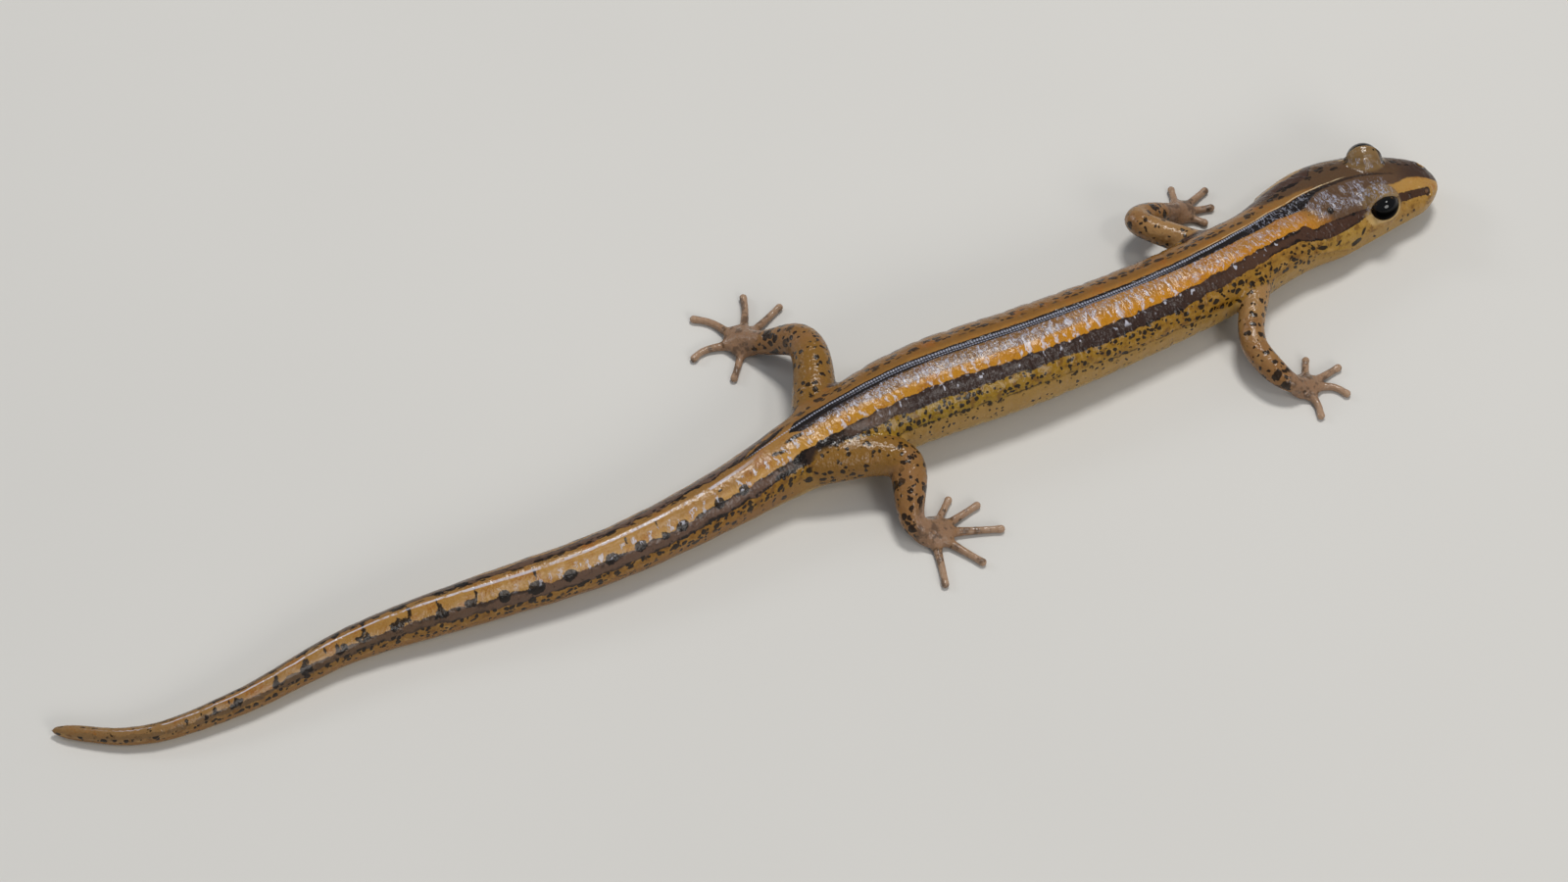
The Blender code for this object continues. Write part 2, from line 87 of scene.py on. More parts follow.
# places on the head are (distance behind the snout, distance out from the midline, height);
# where a value has two, 1 is the left eye's and -1 the right eye's
headShape = {
    "eyePlace": (4.38, 1.82, 3.05), "eyeRadius": 1.05, "eyeTuck": 0.03, "eyeSkew": 0.1,
    "eyeSwing": {1: 8.0, -1: 0.0}, "eyeTilt": 25.0,
    "lidLong": {1: 86.0, -1: 63.0}, "lidTall": {1: 55.0, -1: 50.0}, "lidRoll": 9.0,
    "lidEdge": 3.5, "lidThin": 0.07, "lidThick": 0.14, "lidRim": 0.03,
    "browBlend": 0.4, "creaseAngle": 97.0, "creaseWide": 5.0, "creaseDeep": 0.09,
    "nostrilPlace": (0.97, 1.05, 2.43), "nostrilInner": (1.3, 0.0, 1.8),
    "nostrilRadius": 0.21, "nostrilDepth": 0.3, "nostrilRim": 0.06,
    "mouthLevel": [(0, 1.28), (3, 1.12), (6, 1.12), (7.4, 1.32)], "mouthCorner": 7.3,
    "mouthDepth": 0.12, "mouthWidth": 0.075, "lipRise": 0.035,
}

# joints of a limb from shoulder or hip to the middle of its foot, then the points of each toe
limbShape = {
    "frontRight": {
        "joints": [(31.8, -1.7, 2.3), (29.4, -6.2, 1.9), (30.6, -8.9, 1.0), (31.3, -8.9, 0.5)],
        "toes": [
            [(32.5, -6.9)], [(34.1, -8.4)], [(33.0, -9.7), (33.5, -10.6)], [(31.4, -10.3), (31.1, -11.4)],
        ],
    },
    "frontLeft": {
        "joints": [(30.7, 1.2, 2.4), (27.5, 5.6, 2.4), (30.1, 6.3, 1.0), (30.9, 6.4, 0.5)],
        "toes": [[(31.5, 8.5)], [(33.5, 7.4)], [(33.2, 5.9)], [(32.2, 4.9)]],
    },
    "hindRight": {
        "joints": [(1.7, -2.4, 2.6), (6.2, -4.8, 2.5), (5.4, -8.5, 1.0), (6.2, -8.8, 0.55)],
        "toes": [
            [(7.4, -7.6), (8.3, -6.8)], [(9.7, -8.0)], [(10.2, -10.3)], [(8.0, -12.1)],
            [(5.9, -9.9), (5.3, -12.0), (5.1, -12.57)],
        ],
    },
    "hindLeft": {
        "joints": [(2.5, -0.6, 2.5), (4.6, 6.1, 2.6), (2.9, 8.2, 1.0), (2.3, 9.1, 0.55)],
        "toes": [
            [(1.7, 8.2), (0.5, 6.7)], [(-0.5, 9.5), (-1.1, 9.2)], [(1.0, 11.6), (0.2, 12.2)],
            [(3.7, 11.8), (3.9, 12.47)], [(5.7, 10.7)],
        ],
    },
}
limbSizes = {
    "frontThickness": [(0.0, 1.8), (0.45, 1.6), (0.7, 1.55), (0.93, 1.1), (1.0, 1.1)],
    "hindThickness": [(0.0, 3.0), (0.35, 2.5), (0.6, 2.15), (0.9, 1.4), (1.0, 1.3)],
    "frontPalm": (1.9, 1.8, 0.9), "hindPalm": (2.5, 2.2, 1.05), "palmRaise": 0.42,
    "toeThickness": [(0.0, 0.85), (0.3, 0.54), (0.7, 0.43), (0.92, 0.42), (1.0, 0.48)],
    "toeLevel": 0.23, "toeRootRaise": 0.08, "toeStart": 0.12,
    "rootBlend": 0.5, "palmBlend": 0.35, "toeBlend": 0.3, "limbSteps": 24, "toeSteps": 9,
}

meshSizes = {
    "voxel": 0.19, "bodySides": 40, "tubeSides": 14, "probe": 0.01, "largestStep": 0.25,
    "headEnd": 12.5, "finestHead": 12.4, "finestFoot": 0.45, "lidBand": 14, "lidReach": 0.35, "lipBand": 0.2,
}


def through(stations, at):  # a smooth curve through (place, value) stations that never overshoots
    at = np.asarray(at, float)
    x, y = np.array(stations, float).T
    step = np.diff(x)
    slope = np.diff(y) / step
    both = slope[:-1] * slope[1:]
    inner = np.where(both > 0, 2 * both / np.where(both > 0, slope[:-1] + slope[1:], 1), 0)
    tangent = np.concatenate([slope[:1], inner, slope[-1:]])
    i = np.clip(np.searchsorted(x, at) - 1, 0, len(step) - 1)
    u = np.clip((at - x[i]) / step[i], 0, 1)
    return (
        (2 * u**3 - 3 * u**2 + 1) * y[i]
        + (u**3 - 2 * u**2 + u) * step[i] * tangent[i]
        + (3 * u**2 - 2 * u**3) * y[i + 1]
        + (u**3 - u**2) * step[i] * tangent[i + 1]
    )


def smoothPath(points, samples):  # points along a smooth curve, and how far along it each one lies
    points = np.array(points, float)
    knots = np.concatenate([[0], np.cumsum(np.linalg.norm(np.diff(points, axis=0), axis=1))])
    tangent = np.gradient(points, knots, axis=0)
    t = np.linspace(0, knots[-1], samples)
    i = np.clip(np.searchsorted(knots, t) - 1, 0, len(knots) - 2)
    step = (knots[i + 1] - knots[i])[:, None]
    u = (t - knots[i])[:, None] / step
    dense = (
        (2 * u**3 - 3 * u**2 + 1) * points[i]
        + (u**3 - 2 * u**2 + u) * step * tangent[i]
        + (3 * u**2 - 2 * u**3) * points[i + 1]
        + (u**3 - u**2) * step * tangent[i + 1]
    )
    return dense, np.concatenate([[0], np.cumsum(np.linalg.norm(np.diff(dense, axis=0), axis=1))])


def softened(values, spread):  # evenly spaced values with their kinks smoothed away
    reach = 3 * spread
    weights = np.exp(-0.5 * (np.arange(-reach, reach + 1) / spread) ** 2)
    before = values[0] + (values[0] - values[1]) * np.arange(reach, 0, -1)
    after = values[-1] + (values[-1] - values[-2]) * np.arange(1, reach + 1)
    return np.convolve(np.concatenate([before, values, after]), weights / weights.sum(), "valid")


midPoints, midAlong = smoothPath(bodyShape["midline"], 600)
midPoints = np.stack([softened(column, 6) for column in midPoints.T], axis=1)
midAlong *= bodyShape["length"] / midAlong[-1]
midAhead = np.gradient(midPoints, midAlong, axis=0)
midAhead /= -np.linalg.norm(midAhead, axis=1)[:, None]
midLeft = np.stack([-midAhead[:, 1], midAhead[:, 0]], axis=1)
midBend = (np.gradient(midAhead, midAlong, axis=0) * midLeft).sum(axis=1)


def bodyCoordinates(points):  # distance behind the snout, distance out to the left, height
    flat = points[:, :2]
    weights = (midPoints**2).sum(axis=1)
    nearest = np.concatenate([
        (weights - 2 * flat[first:first + 20000] @ midPoints.T).argmin(axis=1)
        for first in range(0, len(flat), 20000)
    ])
    offset = flat - midPoints[nearest]
    out = (offset * midLeft[nearest]).sum(axis=1)
    behind = -(offset * midAhead[nearest]).sum(axis=1) / (1 + midBend[nearest] * out)
    return midAlong[nearest] + behind, out, points[:, 2]


def bodyPlace(back, out, height):
    centre = np.array([np.interp(back, midAlong, midPoints[:, k]) for k in (0, 1)])
    left = np.array([np.interp(back, midAlong, midLeft[:, k]) for k in (0, 1)])
    return np.append(centre + left / np.linalg.norm(left) * out, height)


tablePlaces = np.linspace(0, bodyShape["length"], 1901)
sizeTables = [
    softened(through(bodyShape[name], tablePlaces), 10)
    for name in ("width", "top", "underside", "widestLevel", "squareness")
]


def sectionSizes(back):
    width, top, under, level, square = (np.interp(back, tablePlaces, table) for table in sizeTables)
    return width / 2, top, under, level, square


def smoothMin(a, b, blend):
    mix = np.clip(0.5 + 0.5 * (b - a) / blend, 0, 1)
    return b + (a - b) * mix - blend * mix * (1 - mix)


def smoothMax(a, b, blend):
    return -smoothMin(-a, -b, blend)


def bell(value, middle, width):
    return np.exp(-(((value - middle) / width) ** 2))


def within(value, span, soft):  # 1 inside a span, falling to 0 over a soft edge
    rise = np.clip((value - span[0]) / soft + 0.5, 0, 1)
    fall = np.clip((span[1] - value) / soft + 0.5, 0, 1)
    return rise * rise * (3 - 2 * rise) * fall * fall * (3 - 2 * fall)


# the markings: each edge is a turn from the pattern's middle line, read by the distance behind the snout
pattern = {
    "middle": [
        (0, 88), (3, 87), (5, 85.5), (8, 85.5), (9, 86.5), (10, 88), (11, 86.5), (12, 83.5), (16, 84),
        (20, 84.8), (24, 84.5), (28, 84.3), (36, 84), (40, 82), (42, 81.5), (44, 80), (46, 79), (48, 84),
        (50, 92), (52, 96), (54, 100), (58, 104), (62, 109), (65, 111), (68, 107), (70, 103), (74, 100),
        (95, 102),
    ],
    "midHalf": [
        (0, -4), (2.2, -1), (3.2, 1.2), (5, 1.5), (8, 1.8), (9, 4), (10, 7), (12, 7), (16, 6), (20, 5.2),
        (24, 4.5), (28, 4.8), (32, 5), (36, 5), (40, 7), (42, 8.5), (44, 10), (45.8, 12), (46.4, 4),
        (47, -3), (50, -8), (95, -10),
    ],
    "stripeTop": [
        (0, 28), (1, 30.5), (3, 31.5), (6, 40), (8.5, 37), (9.8, 35.5), (10.3, 37), (10.8, 28), (12, 29),
        (14, 29.5), (17, 30.3), (19, 32.5), (21, 34.5), (24, 35.5), (32, 35.5), (36, 34), (40, 35),
        (44, 37), (46, 40), (48, 40), (50, 35), (54, 31), (62, 31), (70, 30), (74, 33), (95, 28),
    ],
    "stripeFoot": [
        (0, 49), (3, 50), (6, 53), (7, 57), (9, 59), (10.2, 57.5), (11, 51), (12, 48.5), (15, 49.3),
        (17, 51), (19, 53.5), (21, 55.5), (24, 56.5), (28, 55.7), (30, 54.3), (32, 53), (39, 53.5),
        (41, 52), (46, 59), (50, 58), (58, 57), (62, 56), (66, 55), (70, 56), (74, 60), (95, 56),
    ],
    "farTop": [
        (0, 34), (3, 40), (7, 44), (8, 22), (9, 20.5), (10, 30), (11, 34.5), (12, 38.5), (14, 45),
        (46, 43), (48, 34), (50, 18), (54, 23), (62, 22), (66, 21), (70, 25), (95, 28),
    ],
    "crease": [(0, 86), (25, 86), (28, 79.7), (31, 78.5), (38, 78.5), (95, 78)],
    "beads": [
        (0, -5), (12, -5), (16, -3), (20, -1.3), (24, 0), (28, -0.8), (36, -1.5), (40, -3.5), (42, -4.5),
        (44, -5), (46, -4), (48, -9), (50, -16), (95, -16),
    ],
}


def bodyTurn(back, out, height, sizes):  # the section's angle from the pattern's middle, right positive
    half, top, under, level, square = sizes
    up = height - level
    tall = np.where(up >= 0, top - level, level - under)
    x = np.sign(out) * (np.abs(out) / half) ** (square / 2)
    y = np.sign(up) * (np.abs(up) / tall) ** (square / 2)
    angle = np.degrees(np.arctan2(y, x))
    turn = angle - through(pattern["middle"], back)
    return (turn + 180) % 360 - 180, angle


def bodyGap(points):  # how far outside the body's skin each point lies
    back, out, height = bodyCoordinates(points)
    sizes = sectionSizes(back)
    half, top, under, level, square = sizes
    up = height - level
    tall = np.where(up >= 0, top - level, level - under)
    gauge = ((np.abs(out) / half) ** square + (np.abs(up) / tall) ** square) ** (1 / square)
    fromSnout = back < bodyShape["length"] / 2
    roundLength = np.where(fromSnout, bodyShape["snoutRound"], bodyShape["tailRound"])
    beyond = np.clip(1 - np.where(fromSnout, back, bodyShape["length"] - back) / roundLength, 0, None)
    ratio = np.maximum(np.sqrt(gauge**2 + beyond**2), 0.05)
    gap = np.sqrt(out**2 + up**2 + (beyond * roundLength) ** 2) * (1 - 1 / ratio)
    turn, angle = bodyTurn(back, out, height, sizes)
    return gap + trunkFolds(back, turn, angle) + swells(points), back, out, turn


def swells(points):  # faint unevenness, as soft skin has
    x, y, z = points.T
    long = np.sin(1.9 * x + 1.3 * np.sin(1.4 * y + 0.6)) * np.sin(2.3 * y + 1.1 * np.sin(1.7 * z))
    short = np.sin(4.3 * x + 1.7 * np.sin(3.1 * y)) * np.sin(4.9 * y + 2.1 * np.sin(2.7 * z) + 1.0)
    return foldShape["swell"] * (long + 0.6 * short)


def trunkFolds(back, turn, angle):
    first, last = foldShape["grooveSpan"]
    phase = (back - first) / (last - first) * (foldShape["grooveCount"] - 1)
    side = np.cos(np.radians(angle)) ** 2
    groove = np.clip(np.cos(2 * math.pi * phase), 0, 1) ** 4 * within(back, (first - 0.5, last + 0.5), 0.6)
    crease = bell(np.abs(turn), through(pattern["crease"], back), foldShape["creaseWidth"])
    furrow = bell(turn, 0, foldShape["furrowWidth"])
    ridge = bell(turn, foldShape["ridgeTurn"], foldShape["ridgeWidth"])
    return (
        foldShape["grooveDepth"] * groove * side
        + foldShape["creaseDepth"] * crease * within(back, foldShape["creaseSpan"], 3)
        + foldShape["furrowDepth"] * furrow * within(back, foldShape["furrowSpan"], 3)
        - foldShape["ridgeHeight"] * ridge * within(back, foldShape["ridgeSpan"], 6)
    )


def eyePlaces(side):  # the eye's middle, the way it looks, and the long and the short way across its lids
    flip = np.array([1, side, 1])
    place = np.array(headShape["eyePlace"]) - (headShape["eyeSkew"] * side, 0, 0)
    eye = bodyPlace(*(place * flip))
    angles = (headShape["eyeTilt"], headShape["eyeSwing"][side], headShape["lidRoll"])
    tilt, swing, roll = (math.radians(a) for a in angles)
    look = np.array([-math.sin(swing) * math.cos(tilt), math.cos(swing) * math.cos(tilt), math.sin(tilt)])
    aim = bodyPlace(*((place + look) * flip)) - eye
    aim /= np.linalg.norm(aim)
    ahead = bodyPlace(*((place - (1, 0, 0)) * flip)) - eye
    ahead -= (ahead @ aim) * aim
    ahead /= np.linalg.norm(ahead)
    above = np.cross(aim, ahead) * -side
    long = ahead * math.cos(roll) + above * math.sin(roll)
    short = above * math.cos(roll) - ahead * math.sin(roll)
    return eye, aim, long, short


# distance from the eye's middle, degrees past the lids' edge, and how far above the eye
def lidPlaces(points, side):
    eye, aim, ahead, above = eyePlaces(side)
    offset = points - eye
    out, front, up = offset @ aim, offset @ ahead, offset @ above
    ring = np.maximum(np.hypot(front, up), 1e-6)
    edge = 1 / np.hypot(front / ring / headShape["lidLong"][side], up / ring / headShape["lidTall"][side])
    return np.linalg.norm(offset, axis=1), np.degrees(np.arctan2(ring, out)) - edge, up / ring


def headGap(points, gap, back, out, turn):
    for side in (1, -1):
        far, past, upper = lidPlaces(points, side)
        above = np.clip(upper * 0.9 + 0.4, 0, 1)
        thick = headShape["lidThin"] + (headShape["lidThick"] - headShape["lidThin"]) * above
        thick = thick + headShape["lidRim"] * bell(past, 2 * headShape["lidEdge"], headShape["lidEdge"])
        shut = within(past, (0, 999), 2 * headShape["lidEdge"])
        shell = far - headShape["eyeRadius"] + headShape["eyeTuck"] - (thick + headShape["eyeTuck"]) * shut
        gap = smoothMin(gap, shell, headShape["browBlend"] * shut + 0.02)
        crease = bell(past + headShape["lidTall"][side], headShape["creaseAngle"], headShape["creaseWide"])
        gap = gap + headShape["creaseDeep"] * crease * np.clip(upper, 0, 1) * np.clip(2.4 - far, 0, 1)
        gap = smoothMax(gap, headShape["eyeRadius"] - headShape["eyeTuck"] - far, 0.02)
        nostril = bodyPlace(*(np.array(headShape["nostrilPlace"]) * (1, side, 1)))
        near = np.linalg.norm(points - nostril, axis=1) / headShape["nostrilRadius"]
        gap = gap + headShape["nostrilDepth"] * np.exp(-(near**2))
        gap = gap - headShape["nostrilRim"] * bell(near, 1.9, 0.6)
    level = through(headShape["mouthLevel"], back)
    lips = within(back, (-1, headShape["mouthCorner"]), 0.5)
    height = points[:, 2] - level
    gap = gap + lips * headShape["mouthDepth"] * bell(height, 0, headShape["mouthWidth"])
    gap = gap - lips * headShape["lipRise"] * bell(np.abs(height), 2.4 * headShape["mouthWidth"], 0.12)
    line = np.array(foldShape["gularLine"])
    ridge = np.interp(back, line[:, 0], line[:, 1])
    reach = np.abs(out) * np.radians(np.abs(turn) - ridge)
    ends = within(back, (line[0, 0], line[-1, 0]), 0.8)
    gap = gap - foldShape["gularHeight"] * ends * bell(reach, 0, foldShape["gularWidth"])
    fold = bell(reach, foldShape["gularFoldAway"], foldShape["gularWidth"])
    return gap + foldShape["gularHeight"] * ends * fold


def pieceGap(points, chain, radii):  # how far outside a bent, tapered round limb each point lies
    best = np.full(len(points), 1e9)
    for a, b, ra, rb in zip(chain[:-1], chain[1:], radii[:-1], radii[1:]):
        run = b - a
        t = np.clip((points - a) @ run / (run @ run), 0, 1)
        away = np.linalg.norm(points - a - t[:, None] * run, axis=1)
        best = np.minimum(best, away - ra - (rb - ra) * t)
    return best


def limbPieces(name):  # the chain of a leg, its palm, and the chain of each toe
    limb = limbShape[name]
    kind = "front" if name.startswith("front") else "hind"
    chain, along = smoothPath(limb["joints"], limbSizes["limbSteps"])
    radii = through(limbSizes[kind + "Thickness"], along / along[-1]) / 2
    centre = np.array(limb["joints"][-1])
    palm = np.array(limbSizes[kind + "Palm"])
    tips = np.mean([toe[-1] for toe in limb["toes"]], axis=0)
    heading = math.atan2(tips[1] - centre[1], tips[0] - centre[0])
    toes = []
    for toe in limb["toes"]:
        first = centre[:2] + limbSizes["toeStart"] * (np.array(toe[0]) - centre[:2])
        raised = (*first, limbSizes["toeLevel"] + limbSizes["toeRootRaise"])
        way, toeAlong = smoothPath([raised] + [(x, y, limbSizes["toeLevel"]) for x, y in toe], 60)
        ends = toeAlong[-1] - limbSizes["toeThickness"][-1][1] / 2
        at = np.linspace(0, ends, limbSizes["toeSteps"])
        way = np.stack([np.interp(at, toeAlong, column) for column in way.T], axis=1)
        toes.append((way, through(limbSizes["toeThickness"], at / ends) / 2, at / ends))
    middle = np.array([centre[0], centre[1], palm[2] * limbSizes["palmRaise"]])
    return {"chain": chain, "radii": radii, "palm": (middle, palm / 2, heading), "toes": toes}


limbs = {name: limbPieces(name) for name in limbShape}


def palmGap(points, palm):
    middle, radii, heading = palm
    offset = points - middle
    c, s = math.cos(heading), math.sin(heading)
    x, y, z = offset.T
    local = np.stack([c * x + s * y, c * y - s * x, z], axis=1)
    near = np.linalg.norm(local / radii, axis=1)
    return near * (near - 1) / np.maximum(np.linalg.norm(local / radii**2, axis=1), 1e-6)


def limbGap(points, limb):
    gap = pieceGap(points, limb["chain"], limb["radii"])
    gap = smoothMin(gap, palmGap(points, limb["palm"]), limbSizes["palmBlend"])
    toeGaps = np.min([pieceGap(points, way, radii) for way, radii, _ in limb["toes"]], axis=0)
    return smoothMin(gap, toeGaps, limbSizes["toeBlend"])


def limbBox(limb, margin):
    everything = np.vstack([limb["chain"]] + [way for way, _, _ in limb["toes"]])
    return everything.min(axis=0) - margin, everything.max(axis=0) + margin


def skinGap(points):  # how far outside the finished skin each point lies, in millimetres
    gap, back, out, turn = bodyGap(points)
    head = back < meshSizes["headEnd"]
    gap[head] = headGap(points[head], gap[head], back[head], out[head], turn[head])
    for limb in limbs.values():
        low, high = limbBox(limb, 2.5)
        near = np.all((points > low) & (points < high), axis=1)
        gap[near] = smoothMin(gap[near], limbGap(points[near], limb), limbSizes["rootBlend"])
    return gap


def settle(points, rounds):  # moves points onto the skin along its slope
    probe = meshSizes["probe"]
    for _ in range(rounds):
        here = skinGap(points)
        slope = np.stack([(skinGap(points + probe * axis) - here) / probe for axis in np.eye(3)], axis=1)
        step = here / np.maximum((slope**2).sum(axis=1), 0.3)
        points = points - np.clip(step, -meshSizes["largestStep"], meshSizes["largestStep"])[:, None] * slope
    points[:, 2] = np.maximum(points[:, 2], 0)
    return points


def newObject(name, verts, faces):
    mesh = bpy.data.meshes.new(name)
    mesh.from_pydata([tuple(map(float, v)) for v in verts], [], faces)
    piece = bpy.data.objects.new(name, mesh)
    bpy.context.scene.collection.objects.link(piece)
    return piece


def bodyLoft():  # a coarse closed body for the skin to start from
    sides = meshSizes["bodySides"]
    length = bodyShape["length"]
    ends = [0.1, 0.35, 0.7, 1.1]
    stations = ends + list(np.arange(1.5, length - 1.6, 0.5)) + [length - e for e in reversed(ends)]
    verts, faces = [], []
    for back in stations:
        half, top, under, level, square = (float(v) for v in sectionSizes(back))
        near = min(back / bodyShape["snoutRound"], (length - back) / bodyShape["tailRound"], 1)
        full = math.sqrt(1 - (1 - near) ** 2)
        for i in range(sides):
            angle = 2 * math.pi * i / sides
            c, s = math.cos(angle), math.sin(angle)
            tall = top - level if s >= 0 else level - under
            out = half * full * math.copysign(abs(c) ** (2 / square), c)
            verts.append(bodyPlace(back, out, level + tall * full * math.copysign(abs(s) ** (2 / square), s)))
    for r in range(len(stations) - 1):
        for i in range(sides):
            j = (i + 1) % sides
            faces.append((r * sides + j, r * sides + i, (r + 1) * sides + i, (r + 1) * sides + j))
    faces.append(tuple(range(sides)))
    faces.append(tuple(reversed(range((len(stations) - 1) * sides, len(stations) * sides))))
    return newObject("bodyLoft", verts, faces)


def addLink(tree, source, target):
    tree.links.new(source, target)


def tubeTree():  # a round tube of varying radius along each poly line, with a ball at each end
    tree = bpy.data.node_groups.new("limbTubes", "GeometryNodeTree")
    face = tree.interface
    face.new_socket("Geometry", in_out="INPUT", socket_type="NodeSocketGeometry")
    sidesInput = face.new_socket("Sides", in_out="INPUT", socket_type="NodeSocketInt")
    materialInput = face.new_socket("Skin", in_out="INPUT", socket_type="NodeSocketMaterial")
    face.new_socket("Geometry", in_out="OUTPUT", socket_type="NodeSocketGeometry")
    kinds = {
        "start": "NodeGroupInput", "end": "NodeGroupOutput", "curve": "GeometryNodeMeshToCurve",
        "radius": "GeometryNodeInputNamedAttribute", "setRadius": "GeometryNodeSetCurveRadius",
        "circle": "GeometryNodeCurvePrimitiveCircle", "sweep": "GeometryNodeCurveToMesh",
        "ends": "GeometryNodeCurveEndpointSelection", "ball": "GeometryNodeMeshUVSphere",
        "place": "GeometryNodeInstanceOnPoints", "join": "GeometryNodeJoinGeometry",
        "realize": "GeometryNodeRealizeInstances", "material": "GeometryNodeSetMaterial",
    }
    n = {name: tree.nodes.new(kind) for name, kind in kinds.items()}
    n["radius"].data_type = "FLOAT"
    n["radius"].inputs["Name"].default_value = "radius"
    n["circle"].inputs["Radius"].default_value = 1.0
    n["ball"].inputs["Radius"].default_value = 1.0
    n["ball"].inputs["Rings"].default_value = 8
    n["sweep"].inputs["Fill Caps"].default_value = True
    radius = n["radius"].outputs["Attribute"]
    addLink(tree, n["start"].outputs["Geometry"], n["curve"].inputs["Mesh"])
    addLink(tree, n["curve"].outputs["Curve"], n["setRadius"].inputs["Curve"])
    addLink(tree, radius, n["setRadius"].inputs["Radius"])
    addLink(tree, n["start"].outputs["Sides"], n["circle"].inputs["Resolution"])
    addLink(tree, n["start"].outputs["Sides"], n["ball"].inputs["Segments"])
    addLink(tree, n["setRadius"].outputs["Curve"], n["sweep"].inputs["Curve"])
    addLink(tree, n["circle"].outputs["Curve"], n["sweep"].inputs["Profile Curve"])
    if "Scale" in n["sweep"].inputs:
        addLink(tree, radius, n["sweep"].inputs["Scale"])
    addLink(tree, n["setRadius"].outputs["Curve"], n["place"].inputs["Points"])
    addLink(tree, n["ends"].outputs["Selection"], n["place"].inputs["Selection"])
    addLink(tree, n["ball"].outputs["Mesh"], n["place"].inputs["Instance"])
    addLink(tree, radius, n["place"].inputs["Scale"])
    addLink(tree, n["place"].outputs["Instances"], n["join"].inputs["Geometry"])
    addLink(tree, n["sweep"].outputs["Mesh"], n["join"].inputs["Geometry"])
    addLink(tree, n["join"].outputs["Geometry"], n["realize"].inputs["Geometry"])
    addLink(tree, n["realize"].outputs["Geometry"], n["material"].inputs["Geometry"])
    addLink(tree, n["start"].outputs["Skin"], n["material"].inputs["Material"])
    addLink(tree, n["material"].outputs["Geometry"], n["end"].inputs["Geometry"])
    return tree, sidesInput.identifier, materialInput.identifier


def asMesh(piece):  # applies what is on an object and leaves a plain mesh
    graph = bpy.context.evaluated_depsgraph_get()
    mesh = bpy.data.meshes.new_from_object(piece.evaluated_get(graph))
    piece.modifiers.clear()
    piece.data = mesh
    return piece


def limbTubes(material):
    verts, edges, radii = [], [], []
    for limb in limbs.values():
        for way, sizes in [(limb["chain"], limb["radii"])] + [(w, r) for w, r, _ in limb["toes"]]:
            edges += [(len(verts) + k, len(verts) + k + 1) for k in range(len(way) - 1)]
            verts += [tuple(map(float, p)) for p in way]
            radii += list(map(float, sizes))
    mesh = bpy.data.meshes.new("limbLines")
    mesh.from_pydata(verts, edges, [])
    mesh.attributes.new("radius", "FLOAT", "POINT").data.foreach_set("value", radii)
    piece = bpy.data.objects.new("limbTubes", mesh)
    bpy.context.scene.collection.objects.link(piece)
    tree, sidesId, materialId = tubeTree()
    modifier = piece.modifiers.new("Tubes", "NODES")
    modifier.node_group = tree
    modifier[sidesId] = meshSizes["tubeSides"]
    modifier[materialId] = material
    return asMesh(piece)


def addBall(name, centre, radii, heading=0.0):
    bm = bmesh.new()
    bmesh.ops.create_uvsphere(bm, u_segments=24, v_segments=16, radius=1.0)
    c, s = math.cos(heading), math.sin(heading)
    for v in bm.verts:
        x, y, z = v.co.x * radii[0], v.co.y * radii[1], v.co.z * radii[2]
        v.co = (centre[0] + c * x - s * y, centre[1] + s * x + c * y, centre[2] + z)
    mesh = bpy.data.meshes.new(name)
    bm.to_mesh(mesh)
    bm.free()
    piece = bpy.data.objects.new(name, mesh)
    bpy.context.scene.collection.objects.link(piece)
    return piece


def joined(name, pieces):
    bm = bmesh.new()
    for piece in pieces:
        bm.from_mesh(piece.data)
        bpy.data.objects.remove(piece)
    mesh = bpy.data.meshes.new(name)
    bm.to_mesh(mesh)
    bm.free()
    whole = bpy.data.objects.new(name, mesh)
    bpy.context.scene.collection.objects.link(whole)
    return whole


def largestShell(bm):  # drops any closed scrap inside the skin
    left = set(bm.verts)
    shells = []
    while left:
        grown = [left.pop()]
        shell = set(grown)
        while grown:
            for edge in grown.pop().link_edges:
                for v in edge.verts:
                    if v in left:
                        left.discard(v)
                        shell.add(v)
                        grown.append(v)
        shells.append(shell)
    largest = max(shells, key=len)
    for shell in shells:
        if shell is not largest:
            bmesh.ops.delete(bm, geom=list(shell), context="VERTS")


def meshPoints(mesh):
    points = np.empty(len(mesh.vertices) * 3)
    mesh.vertices.foreach_get("co", points)
    return points.reshape(-1, 3)


def footBlend(points):  # 0 on the body and legs, 1 on the feet; and how far along a toe a point lies
    foot = np.zeros(len(points))
    tip = np.zeros(len(points))
    for limb in limbs.values():
        low, high = limbBox(limb, 1.5)
        near = np.flatnonzero(np.all((points > low) & (points < high), axis=1))
        chosen = points[near]
        centre = limb["palm"][0]
        distance = np.linalg.norm((chosen - centre) * (1, 1, 0.5), axis=1)
        toeAway = np.full(len(chosen), 1e9)
        toeAt = np.zeros(len(chosen))
        for way, _, at in limb["toes"]:
            away = np.linalg.norm(chosen[:, None, :] - way[None], axis=2)
            k = away.argmin(axis=1)
            closer = away.min(axis=1) < toeAway
            toeAt[closer] = at[k[closer]]
            toeAway = np.minimum(toeAway, away.min(axis=1))
        onToe = np.clip(1.3 - toeAway / 0.5, 0, 1)
        foot[near] = np.maximum(foot[near], np.maximum(np.clip(1.6 - distance / 1.3, 0, 1), onToe))
        tip[near] = np.maximum(tip[near], toeAt * onToe)
    return foot, tip


def shinBlend(points):  # how far along its leg each point lies, 0 at the shoulder or hip and 1 at the ankle
    shin = np.zeros(len(points))
    for limb in limbs.values():
        low, high = limbBox(limb, 1.5)
        near = np.flatnonzero(np.all((points > low) & (points < high), axis=1))
        nearest = np.linalg.norm(points[near][:, None, :] - limb["chain"][None], axis=2).argmin(axis=1)
        shin[near] = nearest / (len(limb["chain"]) - 1)
    return shin


